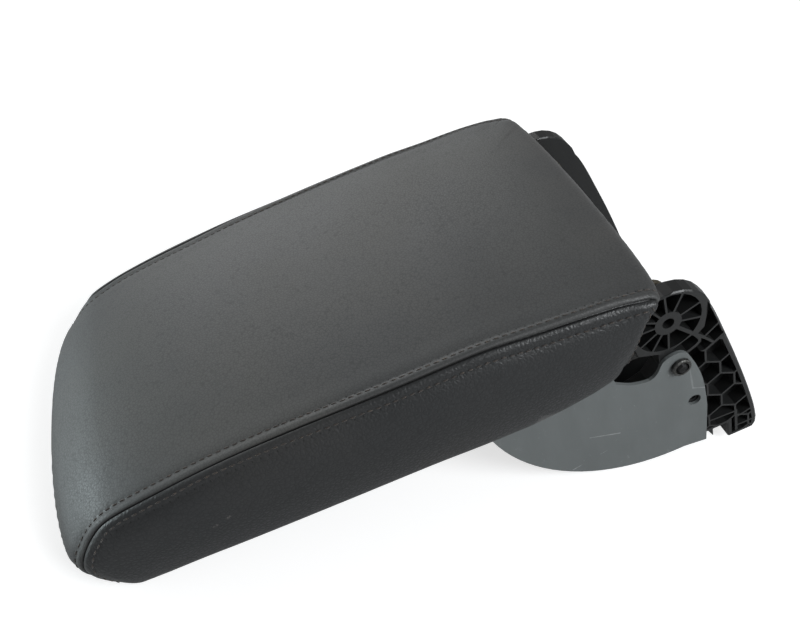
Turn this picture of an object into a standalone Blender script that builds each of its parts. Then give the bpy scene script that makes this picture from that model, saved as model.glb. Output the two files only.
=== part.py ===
"""Center console armrest lid: a padded lid that swings up on a hinge bracket with two ribbed cheeks.

The frame is +Z up, X across the car, -Y towards the front edge of the lid. The origin is the middle of
the bracket's underside, where it bolts down. Sizes are in millimetres and are made metres in the meshes.
"""

import math

import bmesh
import bpy
from mathutils import Matrix, Vector

MM = 0.001
GAP = 0.3  # clearance between pieces that touch
CUT = 1.0  # how far a cutter runs on past the face that it cuts
WELD = 0.002  # points nearer than this are one

# Sides of round forms
HUB_SIDES = 32
ROUND_SIDES = 18
BOSS_SIDES = 14
HOLE_SIDES = 10
SCREW_SIDES = 8

# Hinge line
HINGE_Y = 8.4
HINGE_Z = 89.2
STUB_R = 5.2  # moulded axle on the inside of each cheek
STUB_LENGTH = 13.0
STUB_BORE_R = 2.9

# Cheeks
CHEEK_FACE_X = 75.0
CHEEK_DEPTH = 8.6
CHEEK_WEB = 1.8
CHEEK_WALL = 2.1
CHEEK_EDGE_BEVEL = 1.2
CHEEK_FLARE = 2.4  # lean of the rear wall, from the outer face out to the web
FLARE_TOP_Z = (96.0, 82.0)  # the flare grows between these heights
BOSS_R = 6.5
RING_R = 17.2
RING_WALL = 1.1
RIB = 1.0
HEX_SIDE = 8.2
HEX_Y = 32.15
HEX_Z = 57.5
FOOT_DROP = 11.5  # locating foot under each cheek, below the bracket's underside

# Side plates
PLATE_THICKNESS = 1.7
PLATE_R = 92.0
PLATE_CENTRE_Y = 6.5
PLATE_CENTRE_Z = 91.6
PLATE_TOP_Z = 71.0
COLLAR_Y = 11.2
COLLAR_Z = 61.2
COLLAR_R = 4.8
COLLAR_STEM_R = 3.4
COLLAR_PROUD = 2.2
OPEN_HOLE_Y = 17.0
OPEN_HOLE_Z = 32.5
OPEN_HOLE_R = 3.3
SCREW_SHANK_R = 1.6

# Bracket beam between the cheeks
BEAM_LENGTH_Y = 56.0
BEAM_HEIGHT = 17.0
BEAM_WALL = 2.6
BEAM_RIB_X = 26.0  # the two ribs between its bays
BEAM_BOLT_R = 4.2
BEAM_BOLT_X = 44.0
BEAM_BOLT_Y = 15.0
BEAM_SCREW_Y = 14.0
BEAM_SCREW_Z = 9.5

# Padded lid, heights measured from the rear corner of its seam
PAD_Z = 117.5
PAD_CROWN = 6.0
LEATHER = 1.5
FOAM_GAP = 0.9  # between the leather and the foam, so that neither cuts the other on tight curves
PAD_RINGS_INSIDE = 2
CARRIER_WALL = 2.4
CARRIER_TOP_Z = 113.0

# Lower shell
SHELL_WALL = 2.2
SHELL_REAR_Y = -94.0
SHELL_FLOOR_Z = 83.5

# Hinge arms
ARM_X = 55.0
ARM_THICKNESS = 3.0
ARM_EYE_R = 9.4
BUSH_WALL = 1.2
BUSH_LENGTH = 4.4
BUSH_SHIFT = 0.6  # how far the bush stands in from the arm's middle
ARM_FOOT_WIDTH = 17.0
ARM_FOOT_FLANGE = 7.5
ARM_FOOT_REAR_Y = -14.0
ARM_FRONT_Y = -78.0
ARM_SCREW_INSET = 12.0

# Springs, buffers and latch
SPRING_WIRE_R = 1.0
SPRING_TURNS = 2
SPRING_LAST_DEGREES = 110  # the part of a turn past the whole ones
SPRING_LAST_STEPS = 3
SPRING_LEG = 24.0
SPRING_REACH = 30.0  # how far forward the upper leg runs
SPRING_PEG = 3.0  # side of the square peg that holds the lower leg
COIL_STEPS = 10  # straight stretches in one turn of a spring
BUFFER_R = 5.0
BUFFER_DROP = 5.6
LATCH_WIDTH = 46.0
LATCH_PIN_Y = -226.0
LATCH_PIN_Z = 95.0
LATCH_PIN_R = 1.8
LATCH_PIN_PROUD = 0.8  # how far the pin stands out of its ears
LATCH_EYE_R = 4.0
LATCH_EAR = 2.5
LATCH_WIRE_R = 0.4
LATCH_COIL_STEPS = 8  # straight stretches in one turn
LATCH_COIL_X = (0.5, 2.0)  # the coil's ends, from the paddle's side
LATCH_TAIL = (6.0, 0.5)
LATCH_EAR_GAP = 3.2  # room for the return spring beside the paddle
LATCH_WEB = 4.5  # thickness of the paddle's stem
TAB_TOP_DROP = 13.2  # finger tab, below the pin
TAB_THICKNESS = 2.2
TAB_REACH = 14.0
HOOK_DROP = 19.5
HOOK_NOSE = 4.0
HOOK_WIDTH = 11.0
SLOT_MARGIN = 3.4  # room round the paddle in the shell's floor, for its swing
SLOT_SIDE = 1.5
EAR_REACH = 4.5  # how far each of the latch's ears stands round its pin

# Cheek outline, as (y, z) points
REAR_EDGE = [(29.2, 86.5), (33.4, 73.5), (37.2, 59.5), (42.2, 40.5), (46.4, 22.0), (49.5, 6.0), (50.7, -4.5)]
TOP_ARC = (9.7, 86.8, 19.6)  # centre and radius
TOP_ARC_DEGREES = (14, 205)
CHEEK_FRONT = [
    (-7.5, 75.6), (2.6, 71.4), (2.2, 64.0), (-4.0, 56.5), (-16.0, 52.5),
    (-BEAM_LENGTH_Y / 2, 30.0), (-BEAM_LENGTH_Y / 2, 0.0),
]
FOOT_Y = 35.0
FOOT_REAR_Y = 48.4
FOOT_CORNER = (50.3, 2.6)  # place, and height above the foot's underside
TAB_Y = (24.2, 27.0)
TAB_DROP = 5.9

# Ribs and pockets of a cheek; a rib is its two (y, z) ends and its thickness
RIB_END = 0.25  # how far a rib runs on past its ends
RADIAL_RIB_DEGREES = [61, 92, 123, 150, 178, 210, 237.5, 267, 311, 344, 17]
STOUT_RIB_DEGREES = 311
STOUT_RIB = 1.9
BULGE = [(19.4, 76.2), (22.3, 71.5), (22.5, 69.5), (20.6, 67.9), (16.0, 65.8), (8.0, 71.5)]
CROSS_RIBS = [
    ((32.2, 76.0), (24.7, 70.8), 1.0),
    ((20.4, 75.4), (24.7, 70.8), 1.7),
    ((24.7, 70.8), (30.0, 63.9), 1.3),
    ((35.0, 68.0), (24.9, 61.9), 1.0),
    ((24.9, 61.9), (17.3, 62.2), 1.0),
]
FOOT_RIBS = [
    ((25.0, 8.0), (39.3, 7.1), 1.0),
    ((49.6, 4.8), (40.0, 2.0), 1.0),
    ((50.6, -5.1), (40.5, -5.0), 1.0),
    ((39.6, 8.0), (39.6, -8.5), 1.4),
]
HEX_ROWS = range(-1, 7)
HEX_COLUMNS = range(-4, 3)
TOP_ROW_REAR_Y = 20.0  # the topmost row of cells ends here
FIELD_REAR = (30.0, 3.0, 97.0)  # least y, least z and most z of the field's rear edge
FIELD_FOOT = [(47.8, -FOOT_DROP + CHEEK_WALL), (48.4, -4.5)]
FIELD_FRONT = [
    (28.4, 96.0), (26.4, 84.0), (25.5, 75.5), (24.2, 69.4), (21.2, 66.6), (16.4, 64.6), (8.0, 64.6),
    (5.4, 63.0), (-2.0, 54.6), (-14.2, 50.2), (-25.6, 29.5),
]
FIELD_FRONT_Y = -24.0
UPPER_FIELD = [
    (17.0, 61.6), (24.9, 61.4), (35.6, 67.6), (33.6, 70.0), (32.4, 75.4), (30.6, 82.0), (28.6, 90.0),
    (27.4, 92.5), (26.6, 84.0), (25.2, 77.6), (21.6, 74.6), (23.4, 71.0), (23.2, 68.8), (21.0, 67.0), (16.6, 64.9),
]

# Side plate outline, from its front corner over the cut-out and the collar's lobe
PLATE_ARC_END = 272  # degrees
PLATE_ARC_STEPS = 22
PLATE_FOOT = (21.8, -2.4)
PLATE_STEP = (-21.0, PLATE_TOP_Z)
PLATE_LOBE = [
    (-20.2, 67.2), (-13.8, 62.6), (-9.0, 60.6), (-4.1, 59.7), (-0.9, 61.3), (0.8, 63.8), (3.0, 67.9),
    (6.7, 69.7), (11.0, 70.0), (14.2, 68.4), (16.8, 63.9), (20.7, 51.9), (22.6, 40.0), (23.4, 25.0),
]

# Pad outline at its widest, one half from the rear middle to the front middle, as (y, x)
PAD_PLAN = [
    (7.0, 0.0), (6.4, 30.0), (4.6, 58.0), (2.0, 76.0), (-2.6, 84.0), (-12.5, 86.6), (-40.0, 87.6),
    (-120.0, 88.2), (-205.0, 87.9), (-247.6, 86.2), (-259.8, 81.4), (-267.2, 70.4), (-270.9, 50.0),
    (-272.6, 25.0), (-273.0, 0.0),
]
SPINE_Y = (-215.0, -60.0)  # the outline shrinks towards the middle line between these places
SEAM_X = [
    (0.0, 83.1), (-24.0, 83.7), (-50.0, 82.6), (-75.0, 81.0), (-110.0, 80.7), (-150.0, 79.7), (-186.0, 78.4),
    (-245.0, 77.6),
]
SEAM_HEIGHT = [
    (10.0, -0.8), (0.0, 0.0), (-24.0, 3.9), (-50.0, 6.2), (-75.0, 8.0), (-110.0, 8.4), (-150.0, 8.5),
    (-186.0, 7.2), (-219.0, 4.6), (-239.0, 1.0), (-250.0, -3.0), (-259.0, -7.0), (-274.0, -12.0),
]
PAD_BOTTOM = [
    (0.0, -7.0), (-5.0, -13.0), (-10.0, -24.0), (-15.0, -33.0), (-23.0, -41.0), (-41.0, -45.5),
    (-60.0, -47.5), (-80.0, -47.0), (-110.0, -45.0), (-150.0, -43.6), (-196.0, -41.2), (-217.0, -39.2),
    (-240.0, -38.2), (-274.0, -38.0),
]
CROWN_POWER = 2.2
REAR_BLEND = (-9.0, 8.0)  # where the rear's shape starts, and over what length it grows
REAR_CORNER_X = 84.0
REAR_CORNER_SHARE = 0.5
FRONT_BLEND = (-244.0, 18.0)
# Each ring of the pad's skin as (inset from the outline, share of the height below the top) by stretch
SIDE_RINGS = [(26.0, 0.0), (8.0, 0.0), (4.2, 0.10), (1.2, 0.26), (0.0, 0.48), (0.4, 0.70), (2.6, 0.90), (7.2, 1.0)]
FRONT_RINGS = [(40.0, 0.0), (13.0, 0.03), (6.0, 0.09), (1.6, 0.18), (0.0, 0.32), (1.8, 0.58), (8.5, 0.9), (24.0, 1.0)]
REAR_RINGS = [(20.0, 0.0), (5.5, 0.12), (2.6, 0.24), (0.8, 0.40), (0.0, 0.58), (0.5, 0.76), (2.4, 0.94), (6.0, 1.0)]
CARRIER_INSET = (8.6, 7.4, 25.6)  # from the pad's outline at the sides, the rear and the front
CARRIER_RIM = 1.5

# Screws; each head is its (radius, height) points from the top
SCREW_HEAD = [(0.0, 2.0), (2.1, 1.6), (3.1, 0.0)]
SCREW_HEAD_R = SCREW_HEAD[-1][0]
SCREW_POINT = 1.0
PLATE_SCREW_LENGTH = 11.0
BEAM_SCREW_LENGTH = 8.0
ARM_SCREW_LENGTH = 5.4
SHELL_SCREW_LENGTH = 11.0
COLLAR_SEAT = 1.2  # depth of the screw's seat below the collar's face
COLLAR_STEM_LENGTH = 6.2
COLLAR_EDGE = 0.5
POST_R = 4.0
POST_BORE = 14.0
SINK_R = 3.6
SINK_DEPTH = 1.6
SHELL_SCREW_X = 62.0
SHELL_SCREW_Y = (-222.0, SHELL_REAR_Y - 14.0)
BUFFER_X = 56.0
BUFFER_Y = -238.0


def clear_scene():
    """Removes every object and collection that the file starts with."""
    for obj in list(bpy.data.objects):
        bpy.data.objects.remove(obj, do_unlink=True)
    for group in list(bpy.data.collections):
        bpy.data.collections.remove(group)


def new_collection(name):
    group = bpy.data.collections.new(name)
    bpy.context.scene.collection.children.link(group)
    return group


def make_material(name, colour, roughness, metallic=0.0):
    made = bpy.data.materials.new(name)
    made.use_nodes = True
    shader = made.node_tree.nodes["Principled BSDF"]
    shader.inputs["Base Color"].default_value = (*colour, 1.0)
    shader.inputs["Roughness"].default_value = roughness
    shader.inputs["Metallic"].default_value = metallic
    return made


def add_object(name, mesh, group, material=None):
    obj = bpy.data.objects.new(name, mesh)
    group.objects.link(obj)
    if material:
        mesh.materials.clear()
        mesh.materials.append(material)
    return obj


def as_tool(obj):
    """Marks a cutter or another helper, which isn't a piece of the object."""
    obj.hide_render = True
    obj.display_type = "WIRE"
    return obj


def baked(obj):
    """The mesh of an object with its modifiers and its place applied; the object is removed."""
    bpy.context.view_layer.update()
    graph = bpy.context.evaluated_depsgraph_get()
    mesh = bpy.data.meshes.new_from_object(obj.evaluated_get(graph))
    mesh.transform(obj.matrix_world)
    bpy.data.objects.remove(obj, do_unlink=True)
    work = bmesh.new()
    work.from_mesh(mesh)
    bmesh.ops.remove_doubles(work, verts=work.verts, dist=WELD * MM)
    work.to_mesh(mesh)
    work.free()
    return mesh


def combine(obj, tool, operation):
    """Adds a Boolean with another object as its tool."""
    step = obj.modifiers.new(f"{operation.lower()} {tool.name}", "BOOLEAN")
    step.operation = operation
    step.object = tool
    step.solver = "EXACT"
    return obj


def bevel(obj, width, segments=1, angle_deg=40.0):
    step = obj.modifiers.new("bevel", "BEVEL")
    step.width = width * MM
    step.segments = segments
    step.limit_method = "ANGLE"
    step.angle_limit = math.radians(angle_deg)
    return obj


def smooth_faces(obj, angle_deg=35.0):
    obj.data.shade_smooth()
    obj.data.set_sharp_from_angle(angle=math.radians(angle_deg))
    return obj


def prism_x(name, outline, x0, x1, group, material=None):
    """A flat outline of (y, z) points, filled as a 2D curve and extruded along X from x0 to x1."""
    curve = bpy.data.curves.new(name, "CURVE")
    curve.dimensions = "2D"
    curve.fill_mode = "BOTH"
    curve.extrude = abs(x1 - x0) / 2 * MM
    spline = curve.splines.new("POLY")
    spline.points.add(len(outline) - 1)
    for point, (y, z) in zip(spline.points, outline):
        point.co = (y * MM, z * MM, 0.0, 1.0)
    spline.use_cyclic_u = True
    flat = bpy.data.objects.new(name, curve)
    group.objects.link(flat)
    flat.matrix_world = Matrix(
        ((0, 0, 1, (x0 + x1) / 2 * MM), (1, 0, 0, 0), (0, 1, 0, 0), (0, 0, 0, 1))
    )
    return add_object(name, baked(flat), group, material)


def rod(name, start, end, radius, group, material=None, sides=ROUND_SIDES):
    """A round bar between two points given in millimetres."""
    start, end = Vector(start), Vector(end)
    axis = end - start
    turn = Vector((0, 0, 1)).rotation_difference(axis.normalized()).to_matrix().to_4x4()
    place = Matrix.Translation((start + end) / 2 * MM) @ turn
    work = bmesh.new()
    bmesh.ops.create_cone(
        work,
        cap_ends=True,
        segments=sides,
        radius1=radius * MM,
        radius2=radius * MM,
        depth=axis.length * MM,
        matrix=place,
    )
    mesh = bpy.data.meshes.new(name)
    work.to_mesh(mesh)
    work.free()
    return add_object(name, mesh, group, material)


def block(name, low, high, group, material=None):
    """A box between two corners given in millimetres."""
    low, high = Vector(low), Vector(high)
    work = bmesh.new()
    bmesh.ops.create_cube(work, size=1.0)
    bmesh.ops.scale(work, vec=(high - low) * MM, verts=work.verts)
    bmesh.ops.translate(work, vec=(low + high) / 2 * MM, verts=work.verts)
    mesh = bpy.data.meshes.new(name)
    work.to_mesh(mesh)
    work.free()
    return add_object(name, mesh, group, material)


def turned(name, profile, place, group, material=None, steps=32):
    """A turned piece: (radius, height) points from top to bottom, spun about local Z and placed."""
    mesh = bpy.data.meshes.new(name)
    points = [(r * MM, 0.0, h * MM) for r, h in profile]
    edges = [(i, (i + 1) % len(points)) for i in range(len(points))]
    if profile[0][0] == 0.0:
        edges.pop()
    mesh.from_pydata(points, edges, [])
    obj = add_object(name, mesh, group)
    spin = obj.modifiers.new("spin", "SCREW")
    spin.steps = steps
    spin.render_steps = steps
    spin.use_merge_vertices = True
    spin.merge_threshold = 0.00001
    obj.matrix_world = place
    return add_object(name, baked(obj), group, material)


def along_x(x, y, z, side=1):
    """The place of a turned piece whose axis points outwards along X on one side."""
    across = Matrix.Rotation(math.radians(90 * side), 4, "Y")
    return Matrix.Translation(Vector((x, y, z)) * MM) @ across


def mirror_copy(obj, name, group):
    """The same piece for the other side, mirrored across the middle of the object."""
    mesh = bpy.data.meshes.new_from_object(
        obj.evaluated_get(bpy.context.evaluated_depsgraph_get())
    )
    mesh.transform(Matrix.Scale(-1, 4, Vector((1, 0, 0))) @ obj.matrix_world)
    mesh.flip_normals()
    return add_object(name, mesh, group)


def hold(pieces, pivot):
    """Parents pieces to a pivot without moving them."""
    bpy.context.view_layer.update()
    for piece in pieces:
        piece.parent = pivot
        piece.matrix_parent_inverse = pivot.matrix_world.inverted()


def arc(centre_y, centre_z, radius, from_deg, to_deg, steps):
    return [
        (
            centre_y + radius * math.cos(math.radians(from_deg + (to_deg - from_deg) * i / steps)),
            centre_z + radius * math.sin(math.radians(from_deg + (to_deg - from_deg) * i / steps)),
        )
        for i in range(steps + 1)
    ]


def smooth_line(points, steps=4):
    """A Catmull-Rom line through the points, with the ends kept."""
    padded = [points[0]] + list(points) + [points[-1]]
    line = []
    for a, b, c, d in zip(padded, padded[1:], padded[2:], padded[3:]):
        for i in range(steps):
            t = i / steps
            line.append(
                tuple(
                    0.5 * (2 * q + (r - p) * t + (2 * p - 5 * q + 4 * r - s) * t * t
                           + (3 * q - p - 3 * r + s) * t ** 3)
                    for p, q, r, s in zip(a, b, c, d)
                )
            )
    return line + [tuple(points[-1])]


def inset(points, distance):
    """The closed outline moved inwards; the points run anticlockwise."""
    moved = []
    for before, here, after in zip(points[-1:] + points[:-1], points, points[1:] + points[:1]):
        a = Vector(here) - Vector(before)
        b = Vector(after) - Vector(here)
        normal = Vector((-a.y, a.x)).normalized() + Vector((-b.y, b.x)).normalized()
        normal.normalize()
        reach = distance / max(0.5, normal.dot(Vector((-a.y, a.x)).normalized()))
        moved.append((here[0] + normal.x * reach, here[1] + normal.y * reach))
    return moved


def height_on(line, y):
    """The second value of a line of (y, value) points at y; the line runs towards -Y."""
    if y >= line[0][0]:
        return line[0][1]
    for (y0, v0), (y1, v1) in zip(line, line[1:]):
        if y >= y1:
            return v0 + (v1 - v0) * (y0 - y) / (y0 - y1)
    return line[-1][1]


def cheek_outline():
    """The side view of a cheek, anticlockwise from the foot of its front edge."""
    rear = smooth_line(REAR_EDGE, 3)
    outline = [CHEEK_FRONT[-1], (TAB_Y[0], 0.0), (TAB_Y[1], -TAB_DROP), (TAB_Y[1], 0.0)]
    outline += [(FOOT_Y, 0.0), (FOOT_Y, -FOOT_DROP), (FOOT_REAR_Y, -FOOT_DROP)]
    outline.append((FOOT_CORNER[0], -FOOT_DROP + FOOT_CORNER[1]))
    outline += list(reversed(rear))
    outline += arc(*TOP_ARC, *TOP_ARC_DEGREES, BOSS_SIDES)
    outline += CHEEK_FRONT[:-1]
    return outline


def rib_box(name, start, end, thickness, group):
    """A rib's solid between two (y, z) points, through the whole depth of the cheek."""
    a, b = Vector(start), Vector(end)
    along = (b - a).normalized()
    across = Vector((-along.y, along.x)) * thickness / 2
    a -= along * RIB_END
    b += along * RIB_END
    corners = [a - across, b - across, b + across, a + across]
    x0, x1 = CHEEK_FACE_X - CHEEK_DEPTH - CUT, CHEEK_FACE_X + 2 * CUT
    return prism_x(name, [tuple(c) for c in corners], x0, x1, group)


def hub_pockets(cutters):
    """The open sectors round the hub boss, between its radial ribs."""
    x0, x1 = CHEEK_FACE_X - CHEEK_DEPTH + CHEEK_WEB, CHEEK_FACE_X + CUT
    centre = (HINGE_Y, HINGE_Z)
    ring = rod("hub_pocket", (x0, *centre), (x1, *centre), RING_R - RING_WALL, cutters, sides=HUB_SIDES)
    bulge = prism_x("bulge_pocket", inset(list(reversed(BULGE)), RING_WALL * 0.5), x0, x1, cutters)
    combine(ring, bulge, "UNION")
    boss = rod("hub_boss", (x0 - CUT, *centre), (x1 + CUT, *centre), BOSS_R, cutters)
    combine(ring, boss, "DIFFERENCE")
    for degrees in RADIAL_RIB_DEGREES:
        turn = math.radians(degrees)
        radii = (BOSS_R - CUT, RING_R + CUT)
        reach = [(HINGE_Y + r * math.cos(turn), HINGE_Z + r * math.sin(turn)) for r in radii]
        thickness = STOUT_RIB if degrees == STOUT_RIB_DEGREES else RIB
        combine(ring, as_tool(rib_box(f"hub_rib_{degrees:g}", *reach, thickness, cutters)), "DIFFERENCE")
    for tool in (ring, bulge, boss):
        as_tool(tool)
    return ring


def field_outline():
    """The pocketed area below and behind the hub, inside the cheek's outer wall."""
    wall = inset(cheek_outline(), CHEEK_WALL)
    least_y, least_z, most_z = FIELD_REAR
    rear = [p for p in wall if p[0] > least_y and least_z < p[1] < most_z]
    foot_y, foot_z = FOOT_Y + CHEEK_WALL, -FOOT_DROP + CHEEK_WALL
    foot = [(FIELD_FRONT_Y, CHEEK_WALL), (foot_y, CHEEK_WALL), (foot_y, foot_z)]
    return foot + FIELD_FOOT + rear + FIELD_FRONT


def honeycomb(cutters):
    """Six-sided cells with ribs between them, clipped to the field and left out above it."""
    x0, x1 = CHEEK_FACE_X - CHEEK_DEPTH + CHEEK_WEB, CHEEK_FACE_X + CUT
    pitch = HEX_SIDE * math.sqrt(3)
    cell_r = (pitch - RIB) / math.sqrt(3)
    work = bmesh.new()
    for row in HEX_ROWS:
        z = HEX_Z - row * 1.5 * HEX_SIDE
        shift = pitch / 2 if row % 2 else 0.0
        for column in HEX_COLUMNS:
            y = HEX_Y + shift + column * pitch
            if row == HEX_ROWS[0] and y > TOP_ROW_REAR_Y:
                continue
            place = along_x((x0 + x1) / 2, y, z) @ Matrix.Rotation(math.radians(30), 4, "Z")
            bmesh.ops.create_cone(
                work, cap_ends=True, segments=6, radius1=cell_r * MM, radius2=cell_r * MM,
                depth=(x1 - x0) * MM, matrix=place,
            )
    mesh = bpy.data.meshes.new("honeycomb_cells")
    work.to_mesh(mesh)
    work.free()
    cells = as_tool(add_object("honeycomb_cells", mesh, cutters))
    field = as_tool(prism_x("honeycomb_field", field_outline(), x0 - CUT, x1 + CUT, cutters))
    combine(cells, field, "INTERSECT")
    for n, (start, end, thickness) in enumerate(FOOT_RIBS):
        combine(cells, as_tool(rib_box(f"foot_rib_{n}", start, end, thickness, cutters)), "DIFFERENCE")
    return cells


def upper_pockets(cutters):
    """The irregular cells between the hub ring and the first row of the honeycomb."""
    x0, x1 = CHEEK_FACE_X - CHEEK_DEPTH + CHEEK_WEB, CHEEK_FACE_X + CUT
    cells = as_tool(prism_x("upper_pockets", UPPER_FIELD, x0, x1, cutters))
    for n, (start, end, thickness) in enumerate(CROSS_RIBS):
        combine(cells, as_tool(rib_box(f"cross_rib_{n}", start, end, thickness, cutters)), "DIFFERENCE")
    return cells


def flare_rear_wall(mesh, inner_x):
    """Leans the rear wall of a cheek outwards towards its web, from nothing at the top of the hub."""
    high, low = FLARE_TOP_Z
    for v in mesh.vertices:
        x, y, z = v.co / MM
        front_limit = HINGE_Y + BOSS_R if z > GAP else FOOT_Y + GAP
        if x < inner_x + GAP and y > front_limit:
            v.co.y += CHEEK_FLARE * max(0.0, min(1.0, (high - z) / (high - low))) * MM


def build_cheek(parts, cutters, plastic):
    """One moulded cheek: wall, web, ribs, hub boss, stub axle and screw bosses."""
    inner_x = CHEEK_FACE_X - CHEEK_DEPTH
    cheek = prism_x("cheek_left", cheek_outline(), inner_x, CHEEK_FACE_X, parts, plastic)
    flare_rear_wall(cheek.data, inner_x)
    bevel(cheek, CHEEK_EDGE_BEVEL)
    cells = honeycomb(cutters)
    bosses = [(COLLAR_Y, COLLAR_Z), (OPEN_HOLE_Y, OPEN_HOLE_Z)]
    bosses += [(BEAM_SCREW_Y, BEAM_SCREW_Z), (-BEAM_SCREW_Y, BEAM_SCREW_Z)]
    for n, (y, z) in enumerate(bosses):
        ends = (inner_x, y, z), (CHEEK_FACE_X + 3 * CUT, y, z)
        boss = rod(f"screw_boss_{n}", *ends, COLLAR_STEM_R + CHEEK_WEB, cutters, sides=BOSS_SIDES)
        combine(cells, as_tool(boss), "DIFFERENCE")
    combine(cheek, cells, "DIFFERENCE")
    combine(cheek, upper_pockets(cutters), "DIFFERENCE")
    combine(cheek, hub_pockets(cutters), "DIFFERENCE")
    hub = (HINGE_Y, HINGE_Z)
    stub = rod("hub_stub", (inner_x + CUT, *hub), (inner_x - STUB_LENGTH, *hub), STUB_R, cutters)
    combine(cheek, as_tool(stub), "UNION")
    leg_y, leg_z = HINGE_Y + spring_radius() + SPRING_WIRE_R + GAP, HINGE_Z - SPRING_LEG + 1.0
    peg = block(
        "spring_peg",
        (inner_x - 2 * SPRING_WIRE_R - GAP, leg_y, leg_z),
        (inner_x + CUT, leg_y + SPRING_PEG, leg_z + SPRING_PEG),
        cutters,
    )
    combine(cheek, as_tool(peg), "UNION")
    collar, spare = (COLLAR_Y, COLLAR_Z), (OPEN_HOLE_Y, OPEN_HOLE_Z)
    outer_x = CHEEK_FACE_X + CUT
    holes = [
        ("hub_bore", inner_x - STUB_LENGTH - CUT, outer_x, hub, STUB_BORE_R, BOSS_SIDES),
        ("collar_hole", inner_x + 2 * CUT, outer_x, collar, COLLAR_STEM_R + GAP, BOSS_SIDES),
        ("collar_pilot", inner_x - CUT, inner_x + 3 * CUT, collar, SCREW_SHANK_R + GAP, HOLE_SIDES),
        ("spare_pilot", inner_x + 2.5 * CUT, outer_x, spare, SCREW_SHANK_R, HOLE_SIDES),
    ]
    for side in (-1, 1):
        place = (side * BEAM_SCREW_Y, BEAM_SCREW_Z)
        ends = inner_x - CUT, CHEEK_FACE_X - 2 * CUT
        holes.append((f"beam_screw_hole_{side}", *ends, place, SCREW_SHANK_R + GAP, HOLE_SIDES))
    for name, x0, x1, place, radius, sides in holes:
        hole = rod(name, (x0, *place), (x1, *place), radius, cutters, sides=sides)
        combine(cheek, as_tool(hole), "DIFFERENCE")
    return add_object("cheek_left", baked(cheek), parts, plastic)


def blend(a, b, share):
    return a + (b - a) * share


def pad_top(x, y):
    """Height of the pad's top at a point, with its crown across the width."""
    half = height_on(SEAM_X, y)
    across = min(1.0, abs(x) / half)
    return PAD_Z + height_on(SEAM_HEIGHT, y) + PAD_CROWN * (1 - across ** CROWN_POWER)


def plan_shares(x, y):
    """How far a point of the outline belongs to the rear end and to the front end, from 0 to 1."""
    rear_start, rear_length = REAR_BLEND
    front_start, front_length = FRONT_BLEND
    rear = max(0.0, min(1.0, (y - rear_start) / rear_length))
    rear *= 1.0 if abs(x) < REAR_CORNER_X else REAR_CORNER_SHARE
    return rear, max(0.0, min(1.0, (front_start - y) / front_length))


def spine_place(y):
    """The place on the middle line that a point of the outline shrinks towards."""
    return min(SPINE_Y[1], max(y, SPINE_Y[0]))


def plan_outline():
    """The pad's outline at its widest as (x, y) points, with the point that each one shrinks towards."""
    half = smooth_line(PAD_PLAN, 2)[:-1]
    plan = half + [PAD_PLAN[-1]] + [(y, -x) for y, x in reversed(half[1:])]
    return [(x, y, spine_place(y)) for y, x in plan]


def plan_ring(side, rear, front):
    """The outline moved inwards by its own distance at the sides, the rear and the front."""
    ring = []
    for x, y, middle in plan_outline():
        rear_share, front_share = plan_shares(x, y)
        depth = blend(blend(side, rear, rear_share), front, front_share)
        inward = Vector((-x, middle - y)).normalized() * depth
        ring.append((x + inward.x, y + inward.y))
    return ring


def pad_rings(shrink):
    """Rings of points over the pad's skin, from its shoulder down to the lip under its rim.

    shrink is how far inside the skin the rings lie, so that one set of sizes makes the leather and the foam.
    """
    rings = []
    for (side, side_fall), (rear, rear_fall), (front, front_fall) in zip(SIDE_RINGS, REAR_RINGS, FRONT_RINGS):
        ring = []
        moved = plan_ring(side + shrink, rear + shrink, front + shrink)
        for (px, py), (x, y, _) in zip(moved, plan_outline()):
            rear_share, front_share = plan_shares(x, y)
            fall = blend(blend(side_fall, rear_fall, rear_share), front_fall, front_share)
            top = pad_top(px, py) - shrink
            bottom = PAD_Z + height_on(PAD_BOTTOM, y + shrink) + shrink
            ring.append((px, py, blend(top, bottom, fall)))
        rings.append(ring)
    return rings


def inner_rings(ring, count, drop):
    """Rings over the crown, from the outermost inner ring to the middle line."""
    made = []
    for step in range(count, 0, -1):
        share = step / (count + 1)
        line = []
        for x, y, _ in ring:
            middle = spine_place(y)
            px, py = x * share, middle + (y - middle) * share
            line.append((px, py, pad_top(px, py) - drop))
        made.append(line)
    return list(reversed(made))


def skin(work, rings, cap_ends=True):
    """Joins rings of equal length with quads, and closes the first and last across their middle line."""
    grid = [[work.verts.new(Vector(p) * MM) for p in ring] for ring in rings]
    count = len(grid[0])
    for upper, lower in zip(grid, grid[1:]):
        for i in range(count):
            j = (i + 1) % count
            work.faces.new((upper[i], lower[i], lower[j], upper[j]))
    for ring in (grid[0], grid[-1]) if cap_ends else ():
        for i in range(count // 2):
            strip = (ring[i], ring[i + 1], ring[-i - 1], ring[-i])
            work.faces.new(list(dict.fromkeys(strip)))
    return grid


def closed_mesh(name, work):
    bmesh.ops.recalc_face_normals(work, faces=work.faces)
    mesh = bpy.data.meshes.new(name)
    work.to_mesh(mesh)
    work.free()
    return mesh


def build_cover(parts, leather):
    """The sewn leather cover: an even skin, open underneath, with its edge turned in under the rim."""
    outer = pad_rings(0.0)
    inner = pad_rings(LEATHER)
    outer = inner_rings(outer[0], PAD_RINGS_INSIDE, 0.0) + outer
    inner = inner_rings(inner[0], PAD_RINGS_INSIDE, LEATHER) + inner[:-1]
    lip = [(x, y, z + LEATHER) for x, y, z in outer[-1]]
    work = bmesh.new()
    skin(work, outer + [lip] + list(reversed(inner)), cap_ends=True)
    return add_object("leather_cover", closed_mesh("leather_cover", work), parts, leather)


def inset_more(distances, extra):
    return [d + extra for d in distances]


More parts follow.
